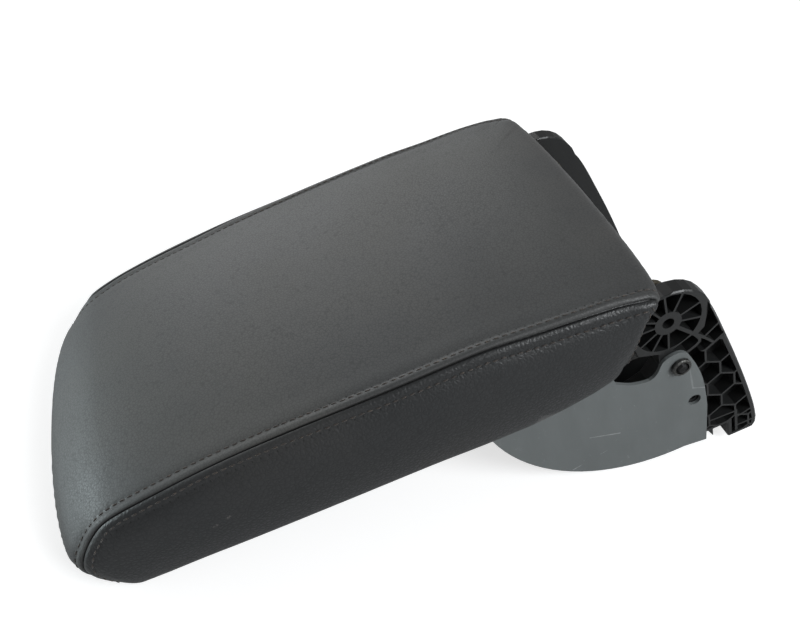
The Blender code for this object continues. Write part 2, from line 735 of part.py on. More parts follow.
def prism_z(name, outline, z0, z1, group, material=None):
    """A flat outline of (x, y) points, filled as a 2D curve and extruded along Z."""
    curve = bpy.data.curves.new(name, "CURVE")
    curve.dimensions = "2D"
    curve.fill_mode = "BOTH"
    curve.extrude = (z1 - z0) / 2 * MM
    spline = curve.splines.new("POLY")
    spline.points.add(len(outline) - 1)
    for point, (x, y) in zip(spline.points, outline):
        point.co = (x * MM, y * MM, 0.0, 1.0)
    spline.use_cyclic_u = True
    flat = bpy.data.objects.new(name, curve)
    group.objects.link(flat)
    flat.location.z = (z0 + z1) / 2 * MM
    return add_object(name, baked(flat), group, material)


def build_foam(parts, cutters, foam):
    """The moulded foam between the leather and the carrier, hollow below for the carrier."""
    rings = pad_rings(LEATHER + FOAM_GAP)[:-1]
    rings = inner_rings(rings[0], PAD_RINGS_INSIDE, LEATHER + FOAM_GAP) + rings
    work = bmesh.new()
    skin(work, rings)
    pad = add_object("foam_pad", closed_mesh("foam_pad", work), parts, foam)
    outline = plan_ring(*inset_more(CARRIER_INSET, -GAP))
    room = prism_z("carrier_room", outline, PAD_Z - 60, CARRIER_TOP_Z + GAP, cutters)
    combine(pad, as_tool(room), "DIFFERENCE")
    return pad


def carrier_bottom(y):
    """Height of the lower edge of the carrier's skirt, just inside the leather's lip."""
    return min(CARRIER_TOP_Z - CARRIER_WALL - CARRIER_RIM, PAD_Z + height_on(PAD_BOTTOM, y) + LEATHER / 2)


def build_carrier(parts, cutters, plastic):
    """The stiff tray under the foam: a top plate, and a skirt that the cover wraps round."""
    outside = plan_ring(*CARRIER_INSET)
    inside = plan_ring(*inset_more(CARRIER_INSET, CARRIER_WALL))
    lows = [carrier_bottom(y) for _, y, _ in plan_outline()]
    roof = CARRIER_TOP_Z - CARRIER_WALL
    rings = [
        [(x, y, CARRIER_TOP_Z) for x, y in outside],
        [(x, y, z) for (x, y), z in zip(outside, lows)],
        [(x, y, z) for (x, y), z in zip(inside, lows)],
        [(x, y, roof) for x, y in inside],
    ]
    work = bmesh.new()
    skin(work, rings)
    carrier = add_object("lid_carrier", closed_mesh("lid_carrier", work), parts, plastic)
    for x, y in arm_screw_places():
        ends = (x, y, roof - CUT), (x, y, CARRIER_TOP_Z + CUT)
        hole = rod(f"carrier_hole_{x:g}_{y:g}", *ends, SCREW_SHANK_R + GAP, cutters, sides=HOLE_SIDES)
        combine(carrier, as_tool(hole), "DIFFERENCE")
    return carrier


def arm_screw_places():
    """Where the screws go up through the feet of the hinge arms."""
    x = ARM_X - ARM_FOOT_WIDTH / 2 + ARM_THICKNESS / 2
    places = (ARM_FRONT_Y + ARM_SCREW_INSET, -ARM_SCREW_INSET * 2)
    return [(side * x, y) for side in (1, -1) for y in places]


def build_shell(parts, cutters, plastic):
    """The lower shell: a pan that closes the underside ahead of the bracket."""
    roof = CARRIER_TOP_Z - CARRIER_WALL - GAP
    step = inset_more(CARRIER_INSET, CARRIER_WALL + GAP)
    shapes = []
    for extra, rear_y in ((0.0, SHELL_REAR_Y), (SHELL_WALL, SHELL_REAR_Y - SHELL_WALL)):
        ring = [p for p in plan_ring(*inset_more(step, extra)) if p[1] < rear_y]
        side = max(x for x, _ in ring)
        front = [p for p in ring if p[1] < rear_y - 1.0]
        shapes.append([(side, rear_y)] + front + [(-side, rear_y)])
    shell = prism_z("lower_shell", shapes[0], SHELL_FLOOR_Z, roof, parts, plastic)
    room = prism_z("shell_room", shapes[1], SHELL_FLOOR_Z + SHELL_WALL, roof + 1, cutters)
    combine(shell, as_tool(room), "DIFFERENCE")
    half = LATCH_WIDTH / 2
    for side in (1, -1):
        middle = side * (half + LATCH_EAR_GAP + LATCH_EAR / 2)
        ear = block(
            f"latch_ear_{side}",
            (middle - LATCH_EAR / 2, LATCH_PIN_Y - EAR_REACH, SHELL_FLOOR_Z + CUT / 2),
            (middle + LATCH_EAR / 2, LATCH_PIN_Y + EAR_REACH, LATCH_PIN_Z + EAR_REACH),
            cutters,
        )
        combine(shell, as_tool(ear), "UNION")
    below, above = SHELL_FLOOR_Z - CUT, SHELL_FLOOR_Z + SHELL_WALL + CUT
    slot = block(
        "latch_slot",
        (-half - SLOT_SIDE, LATCH_PIN_Y - TAB_REACH - SLOT_MARGIN, below),
        (half + SLOT_SIDE, LATCH_PIN_Y + LATCH_WEB / 2 + HOOK_NOSE + SLOT_MARGIN, above),
        cutters,
    )
    combine(shell, as_tool(slot), "DIFFERENCE")
    pin_end = half + 8 * CUT
    ends = (-pin_end, LATCH_PIN_Y, LATCH_PIN_Z), (pin_end, LATCH_PIN_Y, LATCH_PIN_Z)
    pin = rod("latch_pin_hole", *ends, LATCH_PIN_R + GAP, cutters, sides=HOLE_SIDES)
    combine(shell, as_tool(pin), "DIFFERENCE")
    for n, (x, y) in enumerate(buffer_places()):
        hole = rod(f"buffer_hole_{n}", (x, y, below), (x, y, above), BUFFER_R / 2 + GAP, cutters, sides=BOSS_SIDES)
        combine(shell, as_tool(hole), "DIFFERENCE")
    for n, (x, y) in enumerate(shell_screw_places()):
        steps = [
            ("screw_post", SHELL_FLOOR_Z + CUT / 2, roof, POST_R, "UNION"),
            ("post_hole", below, SHELL_FLOOR_Z + POST_BORE, SCREW_SHANK_R + GAP, "DIFFERENCE"),
            ("post_sink", below, SHELL_FLOOR_Z + SINK_DEPTH, SINK_R, "DIFFERENCE"),
        ]
        for name, z0, z1, radius, operation in steps:
            step = rod(f"{name}_{n}", (x, y, z0), (x, y, z1), radius, cutters, sides=HOLE_SIDES)
            combine(shell, as_tool(step), operation)
    return shell


def shell_screw_places():
    return [(side * SHELL_SCREW_X, y) for side in (1, -1) for y in SHELL_SCREW_Y]


def buffer_places():
    return [(side * BUFFER_X, BUFFER_Y) for side in (1, -1)]


def build_arm(parts, cutters, steel):
    """One pressed steel hinge arm: an eye on the hinge line, a web and a foot under the carrier."""
    top = CARRIER_TOP_Z - CARRIER_WALL - GAP
    eye = arc(HINGE_Y, HINGE_Z, ARM_EYE_R, -100, 95, 12)
    outline = eye + [
        (-6.0, top - 4.0), (-16.0, top), (ARM_FRONT_Y, top), (ARM_FRONT_Y, top - 5.0), (-46.0, top - 13.0),
        (-10.0, HINGE_Z - 0.8 * ARM_EYE_R),
    ]
    arm = prism_x("hinge_arm_left", outline, ARM_X, ARM_X + ARM_THICKNESS, parts, steel)
    foot = block(
        "arm_foot",
        (ARM_X - ARM_FOOT_WIDTH + ARM_THICKNESS, ARM_FRONT_Y, top - ARM_THICKNESS),
        (ARM_X + ARM_THICKNESS + ARM_FOOT_FLANGE, ARM_FOOT_REAR_Y, top),
        cutters,
    )
    combine(arm, as_tool(foot), "UNION")
    ends = (ARM_X - CUT, HINGE_Y, HINGE_Z), (ARM_X + ARM_THICKNESS + CUT, HINGE_Y, HINGE_Z)
    hole = rod("arm_eye", *ends, STUB_R + BUSH_WALL + 2 * GAP, cutters)
    combine(arm, as_tool(hole), "DIFFERENCE")
    for x, y in arm_screw_places()[:2]:
        ends = (x, y, top - ARM_THICKNESS - CUT), (x, y, top + CUT)
        drill = rod(f"foot_hole_{y:g}", *ends, SCREW_SHANK_R + GAP, cutters, sides=HOLE_SIDES)
        combine(arm, as_tool(drill), "DIFFERENCE")
    return add_object("hinge_arm_left", baked(arm), parts, steel)


def build_plate(parts, cutters, plastic):
    """The smooth side plate: a sector round the hinge line with a lobe for its collar and a spare hole."""
    start = math.degrees(math.asin((PLATE_TOP_Z - PLATE_CENTRE_Z) / PLATE_R))
    rim = arc(PLATE_CENTRE_Y, PLATE_CENTRE_Z, PLATE_R, 180 - start, PLATE_ARC_END, PLATE_ARC_STEPS)
    outline = [PLATE_FOOT] + list(reversed(rim)) + [PLATE_STEP] + smooth_line(PLATE_LOBE, 2)
    inner_x = CHEEK_FACE_X + GAP
    outline.reverse()
    plate = prism_x("side_plate_left", outline, inner_x, inner_x + PLATE_THICKNESS, parts, plastic)
    for y, z, r in ((COLLAR_Y, COLLAR_Z, COLLAR_STEM_R + GAP), (OPEN_HOLE_Y, OPEN_HOLE_Z, OPEN_HOLE_R)):
        ends = (inner_x - CUT, y, z), (inner_x + 4 * CUT, y, z)
        hole = rod(f"plate_hole_{z:g}", *ends, r, cutters, sides=BOSS_SIDES)
        combine(plate, as_tool(hole), "DIFFERENCE")
    return add_object("side_plate_left", baked(plate), parts, plastic)


def build_beam(parts, cutters, plastic):
    """The cross member between the cheeks: an open tray with bolt holes, ribs and end walls."""
    end_x = CHEEK_FACE_X - CHEEK_DEPTH - GAP
    half = BEAM_LENGTH_Y / 2
    beam = block("bracket_beam", (-end_x, -half, 0), (end_x, half, BEAM_HEIGHT), parts, plastic)
    rib = BEAM_WALL / 2
    bays = (
        (-end_x + BEAM_WALL, -BEAM_RIB_X - rib),
        (-BEAM_RIB_X + rib, BEAM_RIB_X - rib),
        (BEAM_RIB_X + rib, end_x - BEAM_WALL),
    )
    for n, (x0, x1) in enumerate(bays):
        low, high = (x0, -half + BEAM_WALL, BEAM_WALL), (x1, half - BEAM_WALL, BEAM_HEIGHT + CUT)
        combine(beam, as_tool(block(f"beam_bay_{n}", low, high, cutters)), "DIFFERENCE")
    for sx in (-1, 1):
        for sy in (-1, 1):
            x, y = sx * BEAM_BOLT_X, sy * BEAM_BOLT_Y
            ends = (x, y, -CUT), (x, y, BEAM_WALL + CUT)
            hole = rod(f"bolt_hole_{sx}_{sy}", *ends, BEAM_BOLT_R, cutters, sides=BOSS_SIDES)
            combine(beam, as_tool(hole), "DIFFERENCE")
            x0, x1 = sx * (end_x - BEAM_WALL - CUT), sx * (end_x + CUT)
            ends = (x0, sy * BEAM_SCREW_Y, BEAM_SCREW_Z), (x1, sy * BEAM_SCREW_Y, BEAM_SCREW_Z)
            drill = rod(f"beam_hole_{sx}_{sy}", *ends, SCREW_SHANK_R + GAP, cutters, sides=HOLE_SIDES)
            combine(beam, as_tool(drill), "DIFFERENCE")
    return beam


def collar_profile():
    """The collar from its screw seat over its rim and down its stem, as (radius, height) points."""
    bore = SCREW_SHANK_R + GAP
    seat = COLLAR_PROUD - COLLAR_SEAT
    profile = [(bore, seat), (SCREW_HEAD_R + GAP, seat), (SCREW_HEAD_R + GAP, COLLAR_PROUD)]
    profile += [(COLLAR_R - COLLAR_EDGE, COLLAR_PROUD), (COLLAR_R, COLLAR_PROUD - COLLAR_EDGE), (COLLAR_R, GAP)]
    return profile + [(COLLAR_STEM_R, GAP), (COLLAR_STEM_R, -COLLAR_STEM_LENGTH), (bore, -COLLAR_STEM_LENGTH)]


def bush_profile():
    """The hinge bush in an arm's eye, as (radius, height) points."""
    inner, outer, half = STUB_R + GAP, STUB_R + BUSH_WALL + GAP, BUSH_LENGTH / 2
    return [(inner, half), (outer, half), (outer, -half), (inner, -half)]


def pan_screw(name, place, length, parts, steel):
    """A round-head screw whose head stands on local z = 0 and whose shank runs down."""
    shank = [(SCREW_SHANK_R, 0.0), (SCREW_SHANK_R, -length + SCREW_POINT), (0.0, -length)]
    profile = SCREW_HEAD + shank
    return turned(name, profile, place, parts, steel, steps=SCREW_SIDES)


def wire(name, points, radius, parts, steel):
    """A wire through the points, as a curve with a round section and filled caps."""
    curve = bpy.data.curves.new(name, "CURVE")
    curve.dimensions = "3D"
    curve.bevel_depth = radius * MM
    curve.bevel_resolution = 2
    curve.use_fill_caps = True
    line = curve.splines.new("POLY")
    line.points.add(len(points) - 1)
    for point, place in zip(line.points, points):
        point.co = (*(Vector(place) * MM), 1.0)
    obj = bpy.data.objects.new(name, curve)
    parts.objects.link(obj)
    return add_object(name, baked(obj), parts, steel)


def spring_radius():
    """Radius of the coil's middle line, so that its straight stretches clear the stub axle."""
    return (STUB_R + GAP + SPRING_WIRE_R) / math.cos(math.pi / COIL_STEPS)


def build_spring(parts, steel):
    """A torsion spring round the stub axle: one leg on the cheek's peg, one under the arm's foot."""
    r = spring_radius()
    x0 = CHEEK_FACE_X - CHEEK_DEPTH - GAP - SPRING_WIRE_R
    x1 = ARM_X + ARM_THICKNESS + GAP + SPRING_WIRE_R
    last = math.radians(360 * SPRING_TURNS + SPRING_LAST_DEGREES)
    steps = SPRING_TURNS * COIL_STEPS + SPRING_LAST_STEPS
    coil = []
    for i in range(steps + 1):
        share = i / steps
        turn = last * share
        coil.append((blend(x0, x1, share), HINGE_Y + r * math.cos(turn), HINGE_Z + r * math.sin(turn)))
    down = (x0, coil[0][1], HINGE_Z - SPRING_LEG)
    top = CARRIER_TOP_Z - CARRIER_WALL - GAP - ARM_THICKNESS - GAP - SPRING_WIRE_R
    forward = (x1, HINGE_Y - SPRING_REACH, top)
    return wire("torsion_spring_left", [down] + coil + [forward], SPRING_WIRE_R, parts, steel)


def build_latch(parts, cutters, plastic):
    """The release paddle: an eye on its pin, a finger tab under the lid's front and a hook in the middle."""
    y, z = LATCH_PIN_Y, LATCH_PIN_Z
    front, rear = y - LATCH_WEB / 2, y + LATCH_WEB / 2
    tab_top, tab_low, hook_low = z - TAB_TOP_DROP, z - TAB_TOP_DROP - TAB_THICKNESS, z - HOOK_DROP
    outline = arc(y, z, LATCH_EYE_R, -10, 190, 10)
    outline += [(front - 1.0, tab_top), (y - TAB_REACH, tab_top), (y - TAB_REACH, tab_low), (front, tab_low)]
    outline += [(front, hook_low), (rear + HOOK_NOSE - 1.0, hook_low), (rear + HOOK_NOSE, hook_low + 1.6)]
    outline += [(rear, tab_low), (rear, z - LATCH_EYE_R)]
    half = LATCH_WIDTH / 2
    paddle = prism_x("latch_paddle", outline, -half, half, parts, plastic)
    for side in (1, -1):
        near, far = sorted((side * HOOK_WIDTH / 2, side * (half + 1)))
        low, high = (near, front - CUT, hook_low - CUT), (far, rear + HOOK_NOSE + CUT, tab_low - 2 * GAP)
        trim = block(f"hook_trim_{side}", low, high, cutters)
        combine(paddle, as_tool(trim), "DIFFERENCE")
    bore = rod("paddle_bore", (-half - CUT, y, z), (half + CUT, y, z), LATCH_PIN_R + GAP, cutters, sides=HOLE_SIDES)
    combine(paddle, as_tool(bore), "DIFFERENCE")
    return paddle


def build_latch_spring(parts, steel):
    """The return spring of the paddle, round its pin beside the eye."""
    r = (LATCH_PIN_R + GAP + LATCH_WIRE_R) / math.cos(math.pi / LATCH_COIL_STEPS)
    x0, x1 = LATCH_WIDTH / 2 + LATCH_COIL_X[0], LATCH_WIDTH / 2 + LATCH_COIL_X[1]
    steps = 2 * LATCH_COIL_STEPS
    coil = []
    for i in range(steps + 1):
        turn = math.radians(90 + 360 * i / LATCH_COIL_STEPS)
        coil.append((blend(x0, x1, i / steps), LATCH_PIN_Y + r * math.cos(turn), LATCH_PIN_Z + r * math.sin(turn)))
    tail = (x1, coil[-1][1] + LATCH_TAIL[0], coil[-1][2] + LATCH_TAIL[1])
    return wire("latch_spring", coil + [tail], LATCH_WIRE_R, parts, steel)


def build_buffer(name, x, y, parts, rubber):
    """A rubber buffer: a button under the shell with a stem and a barb above its floor."""
    stem = BUFFER_R / 2
    top = SHELL_WALL + GAP
    profile = [(0.0, top + 2.2), (stem * 0.7, top + 2.0), (stem + 0.7, top + 0.3), (stem, top), (stem, -GAP)]
    profile += [(BUFFER_R, -GAP), (BUFFER_R, 2.0 - BUFFER_DROP), (BUFFER_R - 1.2, 0.4 - BUFFER_DROP), (0.0, -BUFFER_DROP)]
    return turned(name, profile, Matrix.Translation(Vector((x, y, SHELL_FLOOR_Z)) * MM), parts, rubber, steps=12)


def main():
    clear_scene()
    parts = new_collection("center_console_armrest_lid")
    cutters = new_collection("cutters")
    grey_plastic = make_material("ribbed_plastic", (0.045, 0.047, 0.048), 0.45)
    plate_plastic = make_material("plate_plastic", (0.17, 0.18, 0.185), 0.5)
    black_plastic = make_material("black_plastic", (0.02, 0.02, 0.022), 0.5)
    leather = make_material("leather", (0.075, 0.075, 0.075), 0.5)
    foam = make_material("foam", (0.55, 0.5, 0.33), 0.9)
    steel = make_material("steel", (0.4, 0.38, 0.33), 0.4, 1.0)
    brass = make_material("collar_metal", (0.3, 0.27, 0.18), 0.4, 1.0)
    nylon = make_material("nylon", (0.6, 0.6, 0.55), 0.4)
    rubber = make_material("rubber", (0.02, 0.02, 0.02), 0.8)

    cheek = build_cheek(parts, cutters, grey_plastic)
    bracket = [cheek, mirror_copy(cheek, "cheek_right", parts)]
    plate = build_plate(parts, cutters, plate_plastic)
    bracket += [plate, mirror_copy(plate, "side_plate_right", parts), build_beam(parts, cutters, grey_plastic)]
    face = CHEEK_FACE_X + GAP + PLATE_THICKNESS
    for side, label in ((1, "left"), (-1, "right")):
        place = along_x(side * face, COLLAR_Y, COLLAR_Z, side)
        bracket.append(turned(f"plate_collar_{label}", collar_profile(), place, parts, brass, steps=BOSS_SIDES))
        seat = along_x(side * (face + COLLAR_PROUD - COLLAR_SEAT + GAP), COLLAR_Y, COLLAR_Z, side)
        bracket.append(pan_screw(f"plate_screw_{label}", seat, PLATE_SCREW_LENGTH, parts, steel))
        for row, y in (("front", -BEAM_SCREW_Y), ("rear", BEAM_SCREW_Y)):
            seat = along_x(side * (CHEEK_FACE_X - CHEEK_DEPTH - BEAM_WALL - 2 * GAP), y, BEAM_SCREW_Z, -side)
            bracket.append(pan_screw(f"beam_screw_{label}_{row}", seat, BEAM_SCREW_LENGTH, parts, steel))
    spring = build_spring(parts, steel)
    bracket += [spring, mirror_copy(spring, "torsion_spring_right", parts)]

    lid_pivot = bpy.data.objects.new("lid_pivot", None)
    lid_pivot.location = Vector((0, HINGE_Y, HINGE_Z)) * MM
    parts.objects.link(lid_pivot)
    arm = build_arm(parts, cutters, steel)
    lid = [build_cover(parts, leather), build_foam(parts, cutters, foam), build_carrier(parts, cutters, black_plastic),
           build_shell(parts, cutters, black_plastic), arm, mirror_copy(arm, "hinge_arm_right", parts)]
    for side, label in ((1, "left"), (-1, "right")):
        place = along_x(side * (ARM_X + ARM_THICKNESS / 2 - BUSH_SHIFT), HINGE_Y, HINGE_Z, side)
        lid.append(turned(f"hinge_bush_{label}", bush_profile(), place, parts, nylon, steps=ROUND_SIDES))
    down = Matrix.Rotation(math.radians(180), 4, "X")
    for n, (x, y) in enumerate(arm_screw_places()):
        z = CARRIER_TOP_Z - CARRIER_WALL - 2 * GAP - ARM_THICKNESS
        seat = Matrix.Translation(Vector((x, y, z)) * MM) @ down
        lid.append(pan_screw(f"arm_screw_{n + 1}", seat, ARM_SCREW_LENGTH, parts, steel))
    for n, (x, y) in enumerate(shell_screw_places()):
        seat = Matrix.Translation(Vector((x, y, SHELL_FLOOR_Z + SINK_DEPTH - GAP)) * MM) @ down
        lid.append(pan_screw(f"shell_screw_{n + 1}", seat, SHELL_SCREW_LENGTH, parts, steel))
    for label, (x, y) in zip(("left", "right"), buffer_places()):
        lid.append(build_buffer(f"lid_buffer_{label}", x, y, parts, rubber))
    pin_end = LATCH_WIDTH / 2 + LATCH_EAR_GAP + LATCH_EAR + LATCH_PIN_PROUD
    ends = (-pin_end, LATCH_PIN_Y, LATCH_PIN_Z), (pin_end, LATCH_PIN_Y, LATCH_PIN_Z)
    lid.append(rod("latch_pin", *ends, LATCH_PIN_R, parts, steel, sides=HOLE_SIDES))
    lid.append(build_latch_spring(parts, steel))
    hold(lid, lid_pivot)

    latch_pivot = bpy.data.objects.new("latch_pivot", None)
    latch_pivot.location = Vector((0, LATCH_PIN_Y, LATCH_PIN_Z)) * MM
    parts.objects.link(latch_pivot)
    hold([latch_pivot], lid_pivot)
    hold([build_latch(parts, cutters, black_plastic)], latch_pivot)
    for obj in parts.objects:
        if obj.type == "MESH":
            smooth_faces(obj)


main()
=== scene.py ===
"""Center console armrest lid: the looks of the padded lid and of its ribbed hinge bracket.

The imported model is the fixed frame: +Z up, X across the car, -Y towards the front edge of the lid. Tables
are in millimetres, as their names say, and meshes are in metres.
"""

import logging
from dataclasses import dataclass
from enum import Enum

import bmesh
import bpy
import numpy as np
from bpy.types import GeometryNodeTree, ID, Material, Mesh, Node, NodeSocket, NodeTree, Object
from mathutils import Matrix, Vector
from mathutils.bvhtree import BVHTree
from mathutils.kdtree import KDTree


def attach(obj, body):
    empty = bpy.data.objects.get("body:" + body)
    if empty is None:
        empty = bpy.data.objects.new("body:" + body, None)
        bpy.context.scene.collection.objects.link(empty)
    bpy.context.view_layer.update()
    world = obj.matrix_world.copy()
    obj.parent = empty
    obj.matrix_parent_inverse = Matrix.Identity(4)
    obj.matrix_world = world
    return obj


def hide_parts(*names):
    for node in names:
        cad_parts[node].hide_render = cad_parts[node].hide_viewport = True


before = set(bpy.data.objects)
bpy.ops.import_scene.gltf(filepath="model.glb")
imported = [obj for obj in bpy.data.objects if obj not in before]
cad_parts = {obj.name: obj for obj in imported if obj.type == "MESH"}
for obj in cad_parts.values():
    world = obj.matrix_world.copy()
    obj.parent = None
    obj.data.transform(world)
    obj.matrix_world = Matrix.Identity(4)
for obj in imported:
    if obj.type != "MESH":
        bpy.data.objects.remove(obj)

LOG = logging.getLogger("armrest_lid")
MM = 0.001
SEED = 7
MIRROR = np.array([-1.0, 1.0, 1.0])
TOP_ROW_MM = 5.0
SIDE_ROW_MM = 5.7
STITCH_PITCH_MM = 3.7
STITCH_LENGTH_MM = 2.7
STITCH_WIDTH_MM = 0.75
SEAM_STEP_MM = 0.5
SEAM_REACH_MM = 4.0
LEAST_HEM_MM = 2.0
WELD_MM = 0.002
SWELL_VOXEL_MM = 5.0
SWELL_PRESSURE = 4.0
SWELL_FRAMES = 20
SWELL_CAP_MM = 1.0
SWELL_REACH_MM = 8.0
SWELL_FREE_MM = 9.0
SWELL_HELD_MM = 34.0
SWELL_SKIP = (6, 4)
SWELL_EASE_PASSES = 20
SEAM_EASE_PASSES = (6, 12)
OUTLINE_STEPS = 24
STITCH_WANDER = 0.06
CLOTH_SETTINGS = {
    "quality": 6, "mass": 0.25, "tension_stiffness": 40.0, "compression_stiffness": 40.0,
    "bending_stiffness": 2.0, "use_pressure": True, "uniform_pressure_force": SWELL_PRESSURE,
    "vertex_group_mass": "pins",
}

Triple = tuple[float, float, float]
Table = tuple[tuple[float, float], ...]


class Panel(Enum):
    """The leather panels of the cover, by the slot that each one takes on the pad."""

    TOP = 0
    SIDE = 1


class Side(Enum):
    """The two sides of the lid, as the sign of X."""

    LEFT = 1
    RIGHT = -1


# Number helpers


def smooth_value(table: Table, at: np.ndarray) -> np.ndarray:
    """Reads a table of (place, value) pairs through a smooth line that doesn't overshoot.

    Args:
        table: pairs in falling order of place.
        at: the places to read.

    Returns:
        The values there, held level past both ends.
    """
    xs = np.array([p[0] for p in table], float)[::-1]
    ys = np.array([p[1] for p in table], float)[::-1]
    step = np.diff(xs)
    slope = np.diff(ys) / step
    tangent = np.zeros_like(ys)
    inner = slope[:-1] * slope[1:] > 0
    weight_a = 2 * step[1:] + step[:-1]
    weight_b = step[1:] + 2 * step[:-1]
    safe_a = np.where(inner, slope[:-1], 1.0)
    safe_b = np.where(inner, slope[1:], 1.0)
    tangent[1:-1] = np.where(inner, (weight_a + weight_b) / (weight_a / safe_a + weight_b / safe_b), 0.0)
    tangent[0], tangent[-1] = slope[0], slope[-1]
    at = np.clip(at, xs[0], xs[-1])
    i = np.clip(np.searchsorted(xs, at) - 1, 0, len(step) - 1)
    t = (at - xs[i]) / step[i]
    return (
        ys[i] * (1 + 2 * t) * (1 - t) ** 2
        + ys[i + 1] * t * t * (3 - 2 * t)
        + step[i] * t * (1 - t) * (tangent[i] * (1 - t) - tangent[i + 1] * t)
    )


def rounded_line(points: np.ndarray, steps: int) -> np.ndarray:
    """A Catmull-Rom line through the points, with the ends kept.

    Args:
        points: rows of coordinates.
        steps: stretches between two neighbouring points.

    Returns:
        The rows of the finer line.
    """
    padded = np.vstack([points[:1], points, points[-1:]])
    t = (np.arange(steps) / steps)[:, None]
    line = []
    for p, q, r, s in zip(padded, padded[1:], padded[2:], padded[3:]):
        square = 2 * p - 5 * q + 4 * r - s
        cube = 3 * q - p - 3 * r + s
        line.append(0.5 * (2 * q + (r - p) * t + square * t**2 + cube * t**3))
    return np.vstack(line + [points[-1:]])


def arc_lengths(line: np.ndarray) -> np.ndarray:
    """Length along a line of points, from its first point to each one."""
    return np.concatenate([[0.0], np.cumsum(np.linalg.norm(np.diff(line, axis=0), axis=1))])


def resampled(line: np.ndarray, at: np.ndarray) -> np.ndarray:
    """Points of a line at given lengths along it."""
    along = arc_lengths(line)
    return np.stack([np.interp(at, along, line[:, k]) for k in range(line.shape[1])], axis=1)


def unit(vectors: np.ndarray) -> np.ndarray:
    """The vectors at length one."""
    return vectors / np.maximum(np.linalg.norm(vectors, axis=-1, keepdims=True), 1e-12)


def hump(distance: np.ndarray, centre: float, width: float) -> np.ndarray:
    """A soft bell of height one round a centre."""
    return np.exp(-(((distance - centre) / width) ** 2))


def eased(share: np.ndarray) -> np.ndarray:
    """Shares from 0 to 1 with a soft start and end."""
    return share * share * (3 - 2 * share)


def relaxed(rows: np.ndarray, passes: int) -> np.ndarray:
    """Rows of numbers smoothed against their neighbours, with the ends kept."""
    rows = rows.copy()
    for _ in range(passes):
        rows[1:-1] = (rows[:-2] + 2 * rows[1:-1] + rows[2:]) / 4
    return rows


def darkened(colour: Triple, share: float) -> Triple:
    """A colour with a share of its light left."""
    return tuple(part * share for part in colour)


def linked(name: str, data: ID) -> Object:
    """A new object of the scene with the given data."""
    obj = bpy.data.objects.new(name, data)
    bpy.context.scene.collection.objects.link(obj)
    return obj


# Node trees


class Wiring:
    """A node tree, with one short call that adds a node, sets it and links it."""

    def __init__(self, tree: NodeTree) -> None:
        """Takes the tree to work on.

        Args:
            tree: the node tree.
        """
        self.tree = tree

    def put(self, socket: NodeSocket, value: object) -> None:
        """Links a socket to another one, or writes a plain value on it, a colour without its alpha."""
        if isinstance(value, NodeSocket):
            self.tree.links.new(value, socket)
        else:
            socket.default_value = (*value, 1.0) if socket.type == "RGBA" else value

    def node(self, kind: str, inputs: dict | None = None, **settings: object) -> Node:
        """Adds a node.

        Args:
            kind: the node's type.
            inputs: values or sockets by input name or number.
            settings: the node's own properties.

        Returns:
            The new node.
        """
        made = self.tree.nodes.new(kind)
        for key, value in settings.items():
            setattr(made, key, value)
        for key, value in (inputs or {}).items():
            self.put(made.inputs[key], value)
        return made


